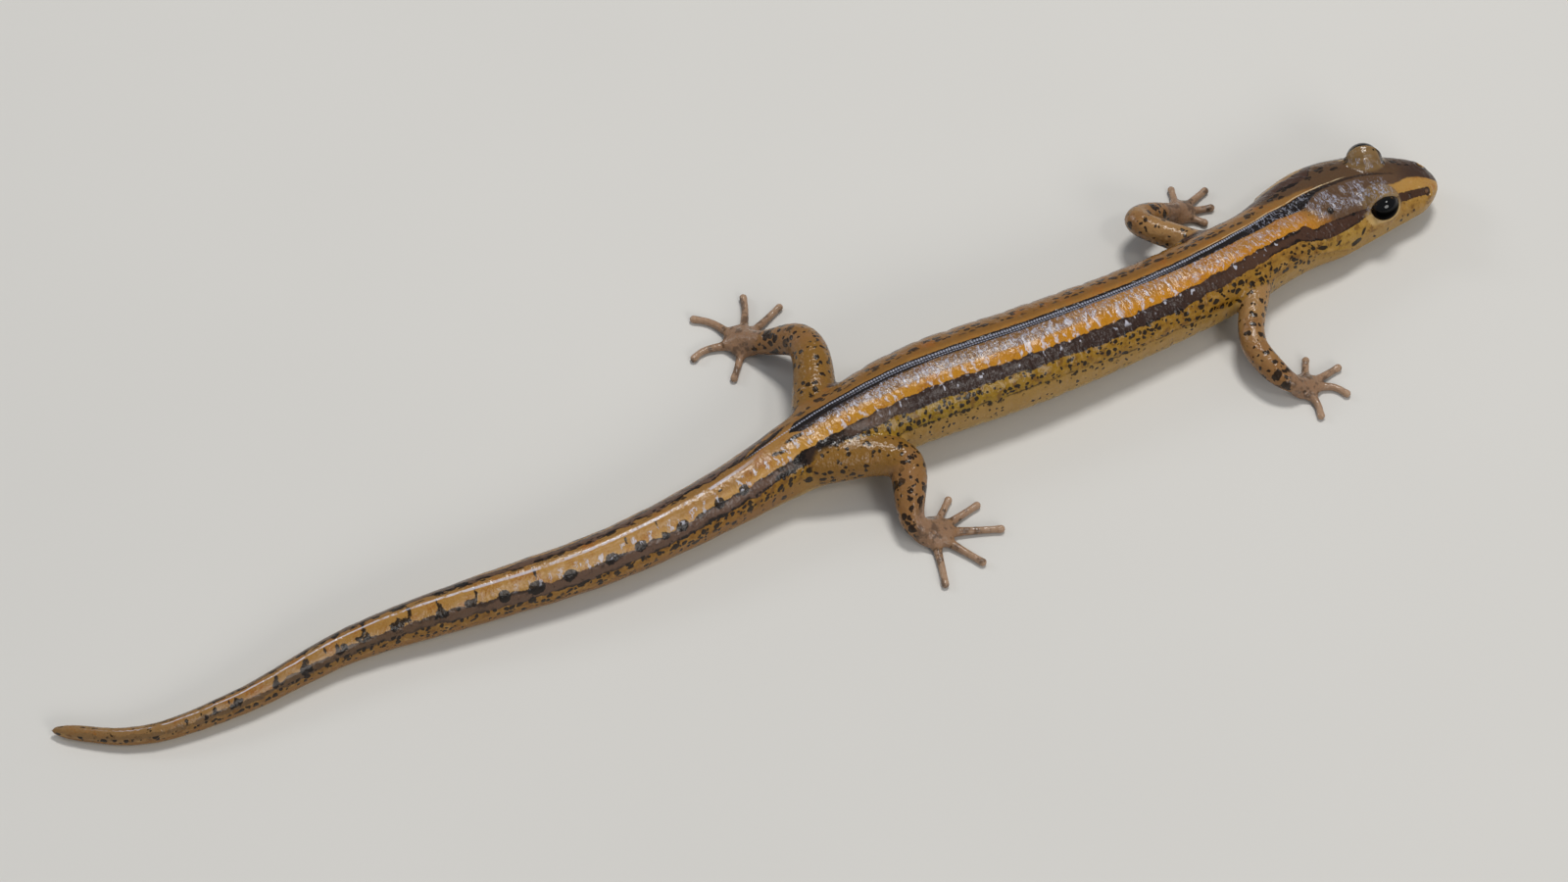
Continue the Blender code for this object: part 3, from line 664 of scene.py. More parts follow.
def refine(piece, chosen):  # halves the edges of the faces whose corners are all chosen
    bm = bmesh.new()
    bm.from_mesh(piece.data)
    bm.verts.ensure_lookup_table()
    edges = {e for f in bm.faces if all(chosen[v.index] for v in f.verts) for e in f.edges}
    bmesh.ops.subdivide_edges(bm, edges=list(edges), cuts=1, use_grid_fill=True)
    bm.to_mesh(piece.data)
    bm.free()


def fineForms(points):  # lids, nostrils and lips, which the finest mesh is kept for
    fine = np.zeros(len(points), bool)
    for side in (1, -1):
        far, past, _ = lidPlaces(points, side)
        nearLid = np.abs(far - headShape["eyeRadius"]) < meshSizes["lidReach"]
        fine |= (np.abs(past) < meshSizes["lidBand"]) & nearLid
        nostril = bodyPlace(*(np.array(headShape["nostrilPlace"]) * (1, side, 1)))
        fine |= np.linalg.norm(points - nostril, axis=1) < 3 * headShape["nostrilRadius"]
    back, _, height = bodyCoordinates(points)
    onLips = np.abs(height - through(headShape["mouthLevel"], back)) < meshSizes["lipBand"]
    return fine | (onLips & (back < headShape["mouthCorner"]))


def makeSkin(material):
    parts = [bodyLoft(), limbTubes(material)]
    lidRadius = headShape["eyeRadius"] + headShape["lidThick"]
    for side in (1, -1):
        parts.append(addBall("lids", eyePlaces(side)[0], [lidRadius] * 3))
    for limb in limbs.values():
        middle, radii, heading = limb["palm"]
        parts.append(addBall("palm", middle, radii, heading))
    skin = joined("salamanderSkin", parts)
    remesh = skin.modifiers.new("Remesh", "REMESH")
    remesh.mode = "VOXEL"
    remesh.voxel_size = meshSizes["voxel"]
    asMesh(skin)
    bm = bmesh.new()
    bm.from_mesh(skin.data)
    largestShell(bm)
    bm.to_mesh(skin.data)
    bm.free()
    print("skin remeshed:", len(skin.data.polygons), "faces")
    points = settle(meshPoints(skin.data), 3)
    skin.data.vertices.foreach_set("co", points.ravel())
    back, _, _ = bodyCoordinates(points)
    foot, _ = footBlend(points)
    refine(skin, (back < meshSizes["finestHead"]) | (foot > meshSizes["finestFoot"]))
    points = settle(meshPoints(skin.data), 3)
    skin.data.vertices.foreach_set("co", points.ravel())
    refine(skin, fineForms(points))
    points = settle(meshPoints(skin.data), 3)
    skin.data.vertices.foreach_set("co", (points * mm).ravel())
    skin.data.materials.clear()
    skin.data.materials.append(material)
    skin.data.shade_smooth()
    paintFields(skin, points)
    print("skin finished:", sum(len(f.vertices) - 2 for f in skin.data.polygons), "triangles")
    return skin


def setField(mesh, name, values):
    mesh.attributes.new(name, "FLOAT", "POINT").data.foreach_set("value", values.astype(float))


# dark marks, listed one by one: (distance behind the snout, turn, half length, half width, lean in degrees)
markList = [
    (6.65, 74, 0.36, 0.14, 45), (7.45, 87, 0.55, 0.2, 5), (10.4, 70, 0.42, 0.16, -8),
    (11.1, 66, 0.17, 0.16, 0), (11.85, 66, 0.12, 0.1, 0), (7.0, 41, 0.16, 0.12, 0),
    (8.4, 24, 0.25, 0.2, 10), (9.0, 73, 0.3, 0.1, 30), (12.15, 84, 0.18, 0.1, 40),
    (11.6, 90, 0.12, 0.25, 0), (12.2, 99, 0.1, 0.1, 0), (12.7, 66, 0.24, 0.1, 30),
    (14.3, 64, 0.4, 0.09, 65), (13.7, 72, 0.28, 0.1, 40), (2.1, 80, 0.06, 0.12, 0),
    (2.6, 87, 0.1, 0.16, 20), (3.05, 82, 0.06, 0.14, 0), (3.15, 93, 0.12, 0.12, 0),
    (4.3, 97, 0.08, 0.16, 0), (5.55, 97, 0.18, 0.09, -40), (46.6, 13, 0.75, 0.14, -8),
    (47.9, 19, 0.6, 0.13, -20), (48.0, -17, 1.9, 0.2, 2), (52.2, 10, 0.14, 0.08, 0),
    (50.9, 33, 0.34, 0.34, 0), (52.6, 31, 0.36, 0.34, 0), (55.2, 33, 0.42, 0.34, 0),
    (56.4, 35, 0.26, 0.26, 0), (58.0, 32, 0.4, 0.34, 0), (59.9, 31, 0.44, 0.34, 0),
    (62.5, 31, 0.44, 0.34, 0), (64.6, 33, 0.55, 0.42, 0), (66.6, 32, 0.4, 0.4, 0),
    (68.4, 26, 0.2, 0.24, 0), (48.6, 52, 0.3, 0.16, 0), (47.0, 46, 0.5, 0.26, 0), (45.2, 48, 0.7, 0.3, 0),
    (48.0, 22, 0.06, 0.28, 0), (50.0, 18, 0.06, 0.3, 0), (51.9, 17, 0.07, 0.34, 0),
    (56.6, 9, 0.08, 0.36, 0), (58.7, 8, 0.08, 0.36, 0), (64.5, 2, 0.09, 0.36, 0),
    (68.2, 6, 0.09, 0.34, 0), (70.6, 10, 0.09, 0.32, 0), (72.3, 2, 0.14, 0.36, 0),
    (75.3, 12, 0.09, 0.28, 0), (77.8, 12, 0.08, 0.26, 0), (79.0, 12, 0.08, 0.24, 0),
    (84.2, 12, 0.07, 0.18, 0), (86.0, 12, 0.07, 0.16, 0), (46.9, 86, 0.26, 0.22, 0),
    (50.9, 74, 0.25, 0.22, 0), (53.2, 70, 0.2, 0.2, 0), (56.0, 67, 0.26, 0.22, 0),
    (57.0, 65, 0.18, 0.18, 0), (58.9, 63, 0.24, 0.2, 0), (59.8, 64, 0.18, 0.18, 0),
    (62.0, 60, 0.24, 0.2, 0), (65.0, 58, 0.26, 0.22, 0), (48.6, 98, 0.22, 0.2, 0),
    (52.0, 88, 0.2, 0.18, 0), (54.6, 84, 0.22, 0.18, 0), (57.9, 82, 0.2, 0.16, 0),
    (60.8, 78, 0.22, 0.18, 0), (63.4, 76, 0.2, 0.18, 0),
]


tailBlotches = {
    "span": (69.0, 91.5), "spacing": (1.5, 2.5), "shrinkEnd": 93.5, "shrinkLength": 14, "crossFrom": 70, "seed": 11,
}


def markGap(back, turn, radius):  # how deep inside a dark mark each point lies, in millimetres
    deep = np.full(len(back), -9.0)
    marks = list(markList)
    draw = np.random.default_rng(tailBlotches["seed"])
    at, last = tailBlotches["span"]
    # blotches along both stripes' upper edges, which reach into the band as the tail thins
    while at < last:
        small = min(1.0, (tailBlotches["shrinkEnd"] - at) / tailBlotches["shrinkLength"])
        for side in (1, -1):
            middle = draw.uniform(30, 40) if side > 0 else -draw.uniform(20, 34)
            for _ in range(3):
                length = draw.uniform(0.16, 0.42) * small * (1.0 if side > 0 else 0.7)
                width = draw.uniform(0.1, 0.3) * small
                place = at + draw.uniform(-0.5, 0.5)
                aside = side * (abs(middle) + draw.uniform(-7, 7))
                marks.append((place, aside, length, width, draw.uniform(-50, 50)))
        if at > tailBlotches["crossFrom"]:
            place, aside = at + draw.uniform(-0.2, 0.2), draw.uniform(14, 26)
            marks.append((place, aside, 0.13, 0.34 * small, draw.uniform(-30, 30)))
        at += draw.uniform(*tailBlotches["spacing"])
    for place, middle, halfLength, halfWidth, lean in marks:
        near = np.flatnonzero(np.abs(back - place) < 3.2)
        x = back[near] - place
        y = np.radians(turn[near] - middle) * radius[near]
        c, s = math.cos(math.radians(lean)), math.sin(math.radians(lean))
        u, v = (c * x + s * y) / halfLength, (c * y - s * x) / halfWidth
        ring = np.sqrt(u**2 + v**2)
        deep[near] = np.maximum(deep[near], (1 - ring) * min(halfLength, halfWidth))
    return deep


def paintFields(skin, points):  # what the skin's material reads at each vertex
    back, out, height = bodyCoordinates(points)
    sizes = sectionSizes(back)
    half, top, under, _, _ = sizes
    turn, angle = bodyTurn(back, out, height, sizes)
    radius = (half + (top - under) / 2) / 2
    gap = bodyGap(points)[0]
    limb = np.clip((gap - 0.05) / 0.45, 0, 1)
    head = back < 7
    limb[head] = 0
    foot, tip = footBlend(points)
    lid, brow = np.zeros(len(points)), np.zeros(len(points))
    for side in (1, -1):
        far, past, upper = lidPlaces(points, side)
        close = far < headShape["eyeRadius"] + 0.5
        lid = np.maximum(lid, bell(past, 1, 4.5) * np.clip(0.75 - upper, 0.35, 1) * close)
        dome = np.clip(1.5 - np.abs(far - headShape["eyeRadius"] - headShape["lidThick"]) / 0.16, 0, 1)
        brow = np.maximum(brow, dome * np.clip(1.2 * upper + 0.9, 0, 1) * close)
    perDegree = np.radians(1) * radius
    side = np.abs(turn)
    setField(skin.data, "back", back)
    setField(skin.data, "turn", turn)
    setField(skin.data, "mid", (through(pattern["midHalf"], back) - side) * perDegree)
    first, last = through(pattern["stripeTop"], back), through(pattern["stripeFoot"], back)
    farther = np.where(turn < 0, through(pattern["farTop"], back) - first, 0)
    stripe = np.minimum(side - first - farther, last + farther - side)
    setField(skin.data, "stripe", stripe * perDegree)
    setField(skin.data, "crease", side - through(pattern["crease"], back))
    setField(skin.data, "below", side - first)
    setField(skin.data, "row", turn - through(pattern["beads"], back))
    setField(skin.data, "marks", markGap(back, turn, radius))
    setField(skin.data, "limb", limb)
    setField(skin.data, "foot", foot)
    setField(skin.data, "shin", shinBlend(points))
    hole = np.zeros(len(points))
    for side in (1, -1):
        nostril = bodyPlace(*(np.array(headShape["nostrilPlace"]) * (1, side, 1)))
        inward = bodyPlace(*headShape["nostrilInner"]) - nostril
        inward /= np.linalg.norm(inward)
        toPoint = points - nostril
        aside = np.linalg.norm(toPoint - (toPoint @ inward)[:, None] * inward, axis=1)
        near = np.linalg.norm(toPoint, axis=1) < 4 * headShape["nostrilRadius"]
        hole = np.maximum(hole, np.exp(-((aside / headShape["nostrilRadius"]) ** 2)) * near)
    setField(skin.data, "hole", hole)
    setField(skin.data, "tip", tip)
    setField(skin.data, "lid", lid)
    setField(skin.data, "brow", brow)
    flow = np.stack([back, np.radians(turn) * radius, np.zeros(len(back))], axis=1)
    skin.data.attributes.new("flow", "FLOAT_VECTOR", "POINT").data.foreach_set("vector", flow.ravel())


# a socket that sums and products can be written with
class Wire:
    def __init__(self, socket):
        self.socket = socket

    def maths(self, operation, first, second):
        return addNode(self.socket.id_data, "ShaderNodeMath", {"operation": operation}, {0: first, 1: second})

    def __add__(self, other):
        return self.maths("ADD", self, other)

    __radd__ = __add__

    def __sub__(self, other):
        return self.maths("SUBTRACT", self, other)

    def __rsub__(self, other):
        return self.maths("SUBTRACT", other, self)

    def __mul__(self, other):
        return self.maths("MULTIPLY", self, other)

    __rmul__ = __mul__

    def __truediv__(self, other):
        return self.maths("DIVIDE", self, other)

    def most(self, other):
        return self.maths("MAXIMUM", self, other)

    def size(self):
        return self.maths("ABSOLUTE", self, 0.0)


def addNode(tree, kind, settings, sockets, output=0):
    node = tree.nodes.new(kind)
    for name, value in settings.items():
        if name == "stops":
            ramp = node.color_ramp
            while len(ramp.elements) < len(value):
                ramp.elements.new(0.5)
            for element, (place, colour) in zip(ramp.elements, value):
                element.position = place
                element.color = colour
        else:
            setattr(node, name, value)
    for name, value in sockets.items():
        if isinstance(value, Wire):
            tree.links.new(value.socket, node.inputs[name])
        else:
            node.inputs[name].default_value = value
    return Wire(node.outputs[output])


def tone(red, green, blue):  # a colour read off, as the shader wants it
    parts = [part / 255 for part in (red, green, blue)]
    linear = [c / 12.92 if c <= 0.04045 else ((c + 0.055) / 1.055) ** 2.4 for c in parts]
    return (*linear, 1.0)


class Sheet:  # one material's nodes
    def __init__(self, name):
        self.material = bpy.data.materials.new(name)
        self.material.use_nodes = True
        self.tree = self.material.node_tree
        self.shader = self.tree.nodes["Principled BSDF"]
        place = self.add("ShaderNodeTexCoord", {}, {}, "Object")
        self.place = self.vector("SCALE", place, Scale=1 / mm)

    def add(self, kind, settings, sockets, output=0):
        return addNode(self.tree, kind, settings, sockets, output)

    def vector(self, operation, first, second=(0, 0, 0), **more):
        return self.add("ShaderNodeVectorMath", {"operation": operation}, {0: first, 1: second, **more}, 0)

    def field(self, name, output="Fac"):
        return self.add("ShaderNodeAttribute", {"attribute_name": name}, {}, output)

    def rise(self, value, low, high):
        settings = {"interpolation_type": "SMOOTHSTEP"}
        return self.add("ShaderNodeMapRange", settings, {"Value": value, "From Min": low, "From Max": high})

    def mix(self, factor, first, second, blend="MIX"):
        settings = {"data_type": "RGBA", "blend_type": blend}
        return self.add("ShaderNodeMix", settings, {0: factor, 6: first, 7: second}, 2)

    def noise(self, place, scale, detail=2.0, rough=0.5, output="Fac", twist=0.0):
        sockets = {"Vector": place, "Scale": scale, "Detail": detail, "Roughness": rough, "Distortion": twist}
        return self.add("ShaderNodeTexNoise", {}, sockets, output)

    def squiggles(self, place, scale, width):  # 1 on thin wandering lines
        away = (self.noise(place, scale, 1.0, 0.5, twist=0.8) - 0.5).size()
        return self.rise(away, width, width * 0.4)

    def cells(self, place, scale, output="Distance", flat=False):
        settings = {"voronoi_dimensions": "2D" if flat else "3D"}
        return self.add("ShaderNodeTexVoronoi", settings, {"Vector": place, "Scale": scale}, output)

    def along(self, back, stops):  # a colour read by the distance behind the snout
        length = bodyShape["length"]
        settings = {"stops": [(b / length, c) for b, c in stops]}
        return self.add("ShaderNodeValToRGB", settings, {"Fac": back / length}, "Color")

    def spots(self, place, spacing, smallest, largest, share, flat=False):  # 1 inside a dark dot
        away = self.cells(place, 1 / spacing, flat=flat) + (self.noise(place, 1.6 / spacing) - 0.5) * 0.22
        draw = self.cells(place, 1 / spacing, "Color", flat=flat)
        parts = self.tree.nodes.new("ShaderNodeSeparateColor")
        self.tree.links.new(draw.socket, parts.inputs[0])
        there = self.rise(Wire(parts.outputs[0]), 1 - share - 0.01, 1 - share + 0.01)
        radius = smallest + (largest - smallest) * Wire(parts.outputs[1])
        return self.rise(radius / spacing - away, -0.02 / spacing, 0.02 / spacing) * there

    def finish(self, **inputs):
        for name, value in inputs.items():
            socket = self.shader.inputs[name.replace("_", " ")]
            if isinstance(value, Wire):
                self.tree.links.new(value.socket, socket)
            else:
                socket.default_value = value
        return self.material


skinLook = {
    "midBlack": tone(26, 20, 19), "stripeBlack": tone(22, 15, 12), "spotBlack": tone(20, 14, 10),
    "belly": tone(176, 146, 84), "lip": tone(160, 120, 54), "cheek": tone(164, 128, 54),
    "lid": tone(196, 164, 108), "browTop": tone(130, 102, 64),
    "headTop": tone(92, 68, 48), "headFar": tone(88, 64, 42),
    "snoutTop": tone(66, 47, 36), "canthus": tone(172, 130, 66), "nostril": tone(104, 72, 46),
    "arm": tone(156, 118, 72), "thigh": tone(132, 94, 38), "shank": tone(140, 100, 58),
    "palm": tone(142, 110, 84), "toe": tone(172, 142, 116), "toeTip": tone(160, 122, 90),
    # the pale bluish, pale gold and white-blue glint colours are painted highlights of the wet skin
    "tailTip": tone(142, 108, 66), "glareSilver": tone(172, 174, 190), "rimHighlight": tone(214, 190, 150),
    "dusk": tone(88, 68, 52), "glint": tone(212, 212, 224),
    "roughness": 0.17, "ior": 1.34, "coat": 0.1, "coatRoughness": 0.08, "coatIor": 1.34,
    "depth": 0.08, "depthScale": 0.0004, "depthTint": (1.0, 0.5, 0.25),
    "lineScale": 6.2, "lineWidth": 0.05, "broadScale": 3.6, "broadWidth": 0.055,
    "hookScale": 2.3, "hookWidth": 0.045, "streakRate": 8.2,
    "bumps": 0.05, "beads": 0.012, "legBumps": 0.06, "softSwell": 0.05, "beadRow": 0.02, "beadCount": 34.0,
}


def skinMaterial():
    s = Sheet("salamanderSkin")
    look = skinLook
    place = s.place
    back, turn, flow = s.field("back"), s.field("turn"), s.field("flow", "Vector")
    side = turn.size()
    wander = s.noise(place, 0.9, 3) - 0.5
    ragged = s.noise(place, 3.2, 3, 0.6) - 0.5
    fine = s.noise(place, 9.0, 2) - 0.5

    # ground colours: the bright band, the flank below the dark stripe and the belly
    band = s.along(back, [
        (0, look["canthus"]), (3.2, look["canthus"]), (5, look["headTop"]), (8.0, look["headTop"]),
        (10.5, tone(184, 124, 34)), (18, tone(190, 126, 24)), (30, tone(186, 126, 24)),
        (44, tone(184, 130, 36)), (50, tone(182, 138, 74)), (62, tone(178, 134, 68)),
        (76, tone(160, 118, 58)), (90, look["tailTip"]),
    ])
    tan = s.along(back, [
        (0, look["canthus"]), (8, tone(136, 98, 50)), (20, tone(124, 84, 34)), (40, tone(126, 86, 36)),
        (60, tone(142, 104, 54)), (92, look["tailTip"]),
    ])
    inner = s.rise(turn + wander * 8, 26, 14) * s.rise(back, 6, 12) * s.rise(back, 64, 50)
    band = s.mix(inner * 0.6, band, tone(140, 102, 60))
    # the band on the far side of the middle line turns a duller tan: partly its own colour, partly painted shade
    band = s.mix(s.rise(turn + wander * 10, -4, -14) * 0.85, band, tan)
    band = s.mix(s.rise(wander + fine * 0.5, -0.02, 0.3) * 0.8, band, tone(150, 88, 24))
    flank = s.along(back, [
        (0, look["lip"]), (5.5, look["lip"]), (8, look["cheek"]), (12, tone(150, 110, 44)),
        (20, tone(150, 108, 30)), (30, tone(150, 112, 28)), (38, tone(150, 118, 22)),
        (42, tone(144, 108, 26)), (52, tone(144, 98, 26)), (64, tone(140, 98, 34)),
        (80, tone(132, 94, 40)), (92, look["tailTip"]),
    ])
    lumps = s.noise(flow, 1.6, 2, 0.6)
    flank = s.mix(s.rise(lumps + ragged * 0.5, 0.5, 0.66) * 0.7, flank, tone(108, 70, 26))
    flank = s.mix(s.rise(lumps + ragged * 0.5, 0.46, 0.3) * 0.5, flank, tone(178, 138, 76))
    lower = s.mix(s.rise(back, 44, 50), tone(158, 122, 60), tone(134, 92, 40))
    flank = s.mix(s.rise(s.field("crease") + ragged * 6, -1, 3), flank, lower)
    ground = s.mix(s.rise(side + ragged * 8, 46, 50), band, flank)
    ground = s.mix(s.rise(side + wander * 14, 104, 124), ground, look["belly"])

    # the top of the head is olive brown, darker on the snout
    top = s.mix(s.rise(turn, 3, -3), look["headTop"], look["headFar"])
    top = s.mix(s.rise(back + wander * 1.5, 3.4, 1.6), top, look["snoutTop"])
    near = s.rise(turn, -1, 1)
    onTop = s.rise(back + side * 0.05 + ragged * 2, 11.0, 9.8) * near
    onTop = onTop * s.rise(side + ragged * 10 - near * 4, 44, 36)
    farTop = s.rise(turn, -44, -38)
    farEdge = s.rise(turn + (back - 8.5) * 6 + ragged * 6, -4, -9) * s.rise(back, 12.2, 11.4) * farTop
    onTop = onTop.most(farEdge).most(s.rise(back, 8.6, 8.0) * farTop * (1 - near))
    golden = s.rise(turn - 9 * s.rise(back, 2.0, 3.3) + ragged * 5, 4.5, 7.5)
    golden = golden * s.rise(back + turn * 0.03, 4.6, 3.9)
    snoutSide = golden.most(s.rise(turn + ragged * 6, -46, -54) * s.rise(back, 4.5, 3.8))
    ground = s.mix(onTop * (1 - snoutSide), ground, top)
    ground = s.mix(s.field("brow") * 0.9, ground, look["browTop"])
    ground = s.mix(s.field("lid") * 0.8, ground, look["lid"])

    # the dark stripe from nostril to tail, brown between blackish scalloped edges
    scallop = s.noise(s.vector("MULTIPLY", flow, (1.0, 0.5, 1)), 1.15, 1, 0.4) - 0.5
    stripe = s.field("stripe") + ragged * 0.2 + fine * 0.1 + scallop * 0.5 * s.rise(back, 8, 12)
    stripeIn = s.rise(stripe, -0.02, 0.03)
    brown = s.along(back, [
        (0, tone(66, 44, 30)), (9, tone(70, 46, 34)), (15, tone(78, 54, 40)), (21, tone(56, 39, 32)),
        (39, tone(54, 38, 32)), (42, tone(96, 74, 60)), (44.5, tone(46, 32, 24)), (47, tone(50, 36, 28)),
        (49, tone(100, 76, 62)), (66, tone(98, 74, 58)), (80, tone(92, 70, 48)), (95, look["tailTip"]),
    ])
    edge = 1 - s.rise(stripe + wander * 1.1, 0.0, 0.2)
    edgeThere = s.rise(back, 4, 9) * s.rise(back, 95, 52)
    edgeThere = edgeThere * (1 - 0.6 * s.rise(back, 13, 16) * s.rise(back, 44, 40))
    brown = s.mix(edge * edgeThere * 0.92, brown, look["stripeBlack"])
    brown = s.mix(s.rise(ragged + wander * 0.5, 0.08, 0.24) * 0.5, brown, look["stripeBlack"])
    colour = s.mix(stripeIn * s.rise(back, 0.75, 1.1) * (1 - s.field("lid") * 0.9), ground, brown)

    # the blackish line along the middle of the back, which begins as a thin line on the head
    mid = s.field("mid") + ragged * 0.1 + fine * 0.05
    midIn = s.rise(mid, -0.02, 0.03) * (0.72 + 0.28 * s.rise(back, 6, 9))
    colour = s.mix(midIn, colour, look["midBlack"])

    # black dots, few on the back and many on the flanks, and the listed marks
    dotsPlace = s.vector("ADD", flow, s.vector("SCALE", s.noise(place, 1.7, output="Color"), Scale=0.5))
    flankDots = s.spots(dotsPlace, 0.48, 0.07, 0.19, 0.88, flat=True)
    smallDots = s.spots(s.vector("ADD", dotsPlace, (3.3, 1.7, 0)), 0.42, 0.05, 0.12, 0.42, flat=True)
    onFlank = s.rise(side, 50, 55) * s.rise(s.field("crease") + ragged * 16, 8, 2) * s.rise(back, 9, 12)
    underFlank = s.rise(side, 50, 55) * s.rise(side + ragged * 24, 122, 104) * s.rise(back, 8.5, 11)
    headDots = s.spots(place, 0.5, 0.02, 0.07, 0.4) * s.rise(back, 11.5, 9.5) * s.rise(back, 1.0, 2.0)
    farPlace = s.vector("MULTIPLY", s.vector("ADD", dotsPlace, (1.1, 2.3, 0)), (0.6, 1.1, 1))
    farBand = s.rise((turn + 25 + wander * 12).size(), 10, 6) * s.rise(turn, 0, -5)
    farDots = s.spots(farPlace, 0.42, 0.09, 0.2, 0.85, flat=True) * farBand
    dots = (flankDots * onFlank).most(smallDots * underFlank).most(headDots).most(farDots * 0.9)
    crease = s.rise((s.field("crease") + ragged * 6).size(), 2.2, 0.6) * s.rise(ragged + wander, -0.12, 0.06)
    crease = crease * s.rise(back, 17, 24) * s.rise(back, 44, 41)
    frayed = ragged * (0.14 + 0.12 * s.rise(back, 50, 54)) + fine * 0.07
    marks = s.rise(s.field("marks") + frayed, -0.02, 0.03)
    colour = s.mix(dots.most(marks).most(crease * 0.7) * 0.95, colour, look["spotBlack"])

    # painted highlights of wet skin: pale bluish squiggles beside the middle line, on the head, the brows and the
    # neck; from mid-trunk back the ground under them is darkened
    below = s.field("below")
    lines = s.squiggles(s.vector("MULTIPLY", flow, (1.0, 0.85, 1)), look["lineScale"], look["lineWidth"])
    lines = lines * s.rise(s.noise(flow, 3.1, 1), 0.4, 0.5)
    patchy = s.noise(flow, 0.9, 2)
    reach = s.rise(back, 19, 29) * 11 - s.rise(back, 40.5, 43) * 6
    zone = s.rise(turn, 3.5, 6) * s.rise(turn - reach, 12, 8) * s.rise(back, 11, 20) * s.rise(back, 47, 43)
    headZone = s.rise(turn, 3, 5) * s.rise(turn + patchy * 20, 44, 36)
    headZone = headZone * s.rise(back, 3.2, 4.5) * s.rise(back, 9.8, 8.8)
    lidZone = s.field("brow") * s.rise(s.noise(place, 1.6, 1), 0.5, 0.6)
    neckZone = s.rise((turn - 1).size(), 7, 5) * s.rise(back, 8.6, 9.4) * s.rise(back, 14.5, 13)
    onOrange = s.rise(turn, 7, 9) * s.rise(below, -1, -4) * s.rise(back, 10, 11) * s.rise(back, 21, 18)
    neckZone = neckZone.most(onOrange * 0.9)
    broad = s.squiggles(s.vector("MULTIPLY", flow, (1.0, 0.8, 1)), look["broadScale"], look["broadWidth"])
    broad = broad * s.rise(s.noise(flow, 2.2, 1), 0.42, 0.5)
    colour = s.mix(zone * s.rise(back, 24, 30) * 0.6, colour, look["dusk"])
    shown = (zone * 0.85).most(headZone * s.rise(patchy, 0.42, 0.56) * 0.75).most(lidZone * 0.7)
    colour = s.mix(lines * shown, colour, look["glareSilver"])
    broadShown = (neckZone * 0.5).most(headZone * s.rise(patchy, 0.38, 0.5) * 0.65)
    colour = s.mix(broad * broadShown, colour, look["glareSilver"])

    # painted highlights: pale rows of beads along the middle line, a pale gold line along the rim of its far side,
    # and a white line along the tail's crest
    tick = s.add("ShaderNodeMath", {"operation": "SINE"}, {0: back * look["beadCount"] + ragged * 6})
    row = s.field("row")
    firstRow = s.rise((row + ragged * 1.5).size(), 1.6, 1.0) * (0.5 + 0.4 * tick) * s.rise(back, 10.5, 13)
    secondRow = s.rise((row - 3.6 + ragged).size(), 1.1, 0.6) * (0.55 + 0.4 * tick)
    secondRow = secondRow * s.rise(back, 18, 22) * s.rise(back, 44, 40)
    rim = s.rise((s.field("mid") + 0.04).size(), 0.035, 0.012) * s.rise(turn, 0, -1)
    rim = rim * s.rise(back, 5.8, 7) * s.rise(back, 20, 15)
    colour = s.mix(firstRow.most(secondRow * 0.7) * s.rise(back, 50, 48.5), colour, look["glareSilver"])
    colour = s.mix(rim * s.rise(patchy + fine * 0.5, 0.3, 0.5) * 0.9, colour, look["rimHighlight"])
    crest = s.rise((turn + 4).size(), 4.5, 2) * s.rise(back, 48, 52) * s.rise(back, 94, 88)
    crest = crest * s.rise(ragged + wander, -0.25, 0.05)
    colour = s.mix(crest * 0.65, colour, look["glint"])

    # painted highlights: streaks across the bright band and glinting flecks on the dark stripe
    leaning = s.rise(back, 21, 17) * turn * 0.16
    sway = s.noise(flow, 0.7, 1) * 12 + s.noise(flow, 3.4, 1) * 4
    wave = s.add("ShaderNodeMath", {"operation": "SINE"}, {0: back * look["streakRate"] + leaning + sway})
    streakZone = s.rise(turn + patchy * 16, 17, 20) * s.rise(below + patchy * 14, 9, 5)
    streakZone = streakZone * s.rise(back, 10, 12) * s.rise(back, 70, 60)
    small = s.rise(back, 21, 17)
    broken = s.rise(s.noise(flow, 1.7, 1) + ragged * 0.3, 0.44, 0.52)
    broken = broken * (1 - small * s.rise(s.noise(flow, 4.5, 1), 0.56, 0.48))
    hooks = s.squiggles(s.vector("MULTIPLY", flow, (1.3, 0.6, 1)), look["hookScale"], look["hookWidth"])
    hooks = hooks * s.rise(wave, -0.4, 0.4)
    streaks = (s.rise(wave + ragged * 1.6, 0.72, 0.95) * 0.8).most(hooks) * streakZone * broken
    flecks = s.rise(s.noise(s.vector("MULTIPLY", flow, (1.3, 0.8, 1)), 2.6, 1), 0.6, 0.66)
    flecks = flecks * s.rise(wave, -0.2, 0.5) * s.rise(below, 0, 2) * s.rise(below, 13, 8)
    flecks = flecks * s.rise(turn, 0, 9) * s.rise(back, 8.5, 10) * s.rise(back, 43, 39)
    colour = s.mix(streaks.most(flecks * 0.9) * 0.72, colour, look["glint"])

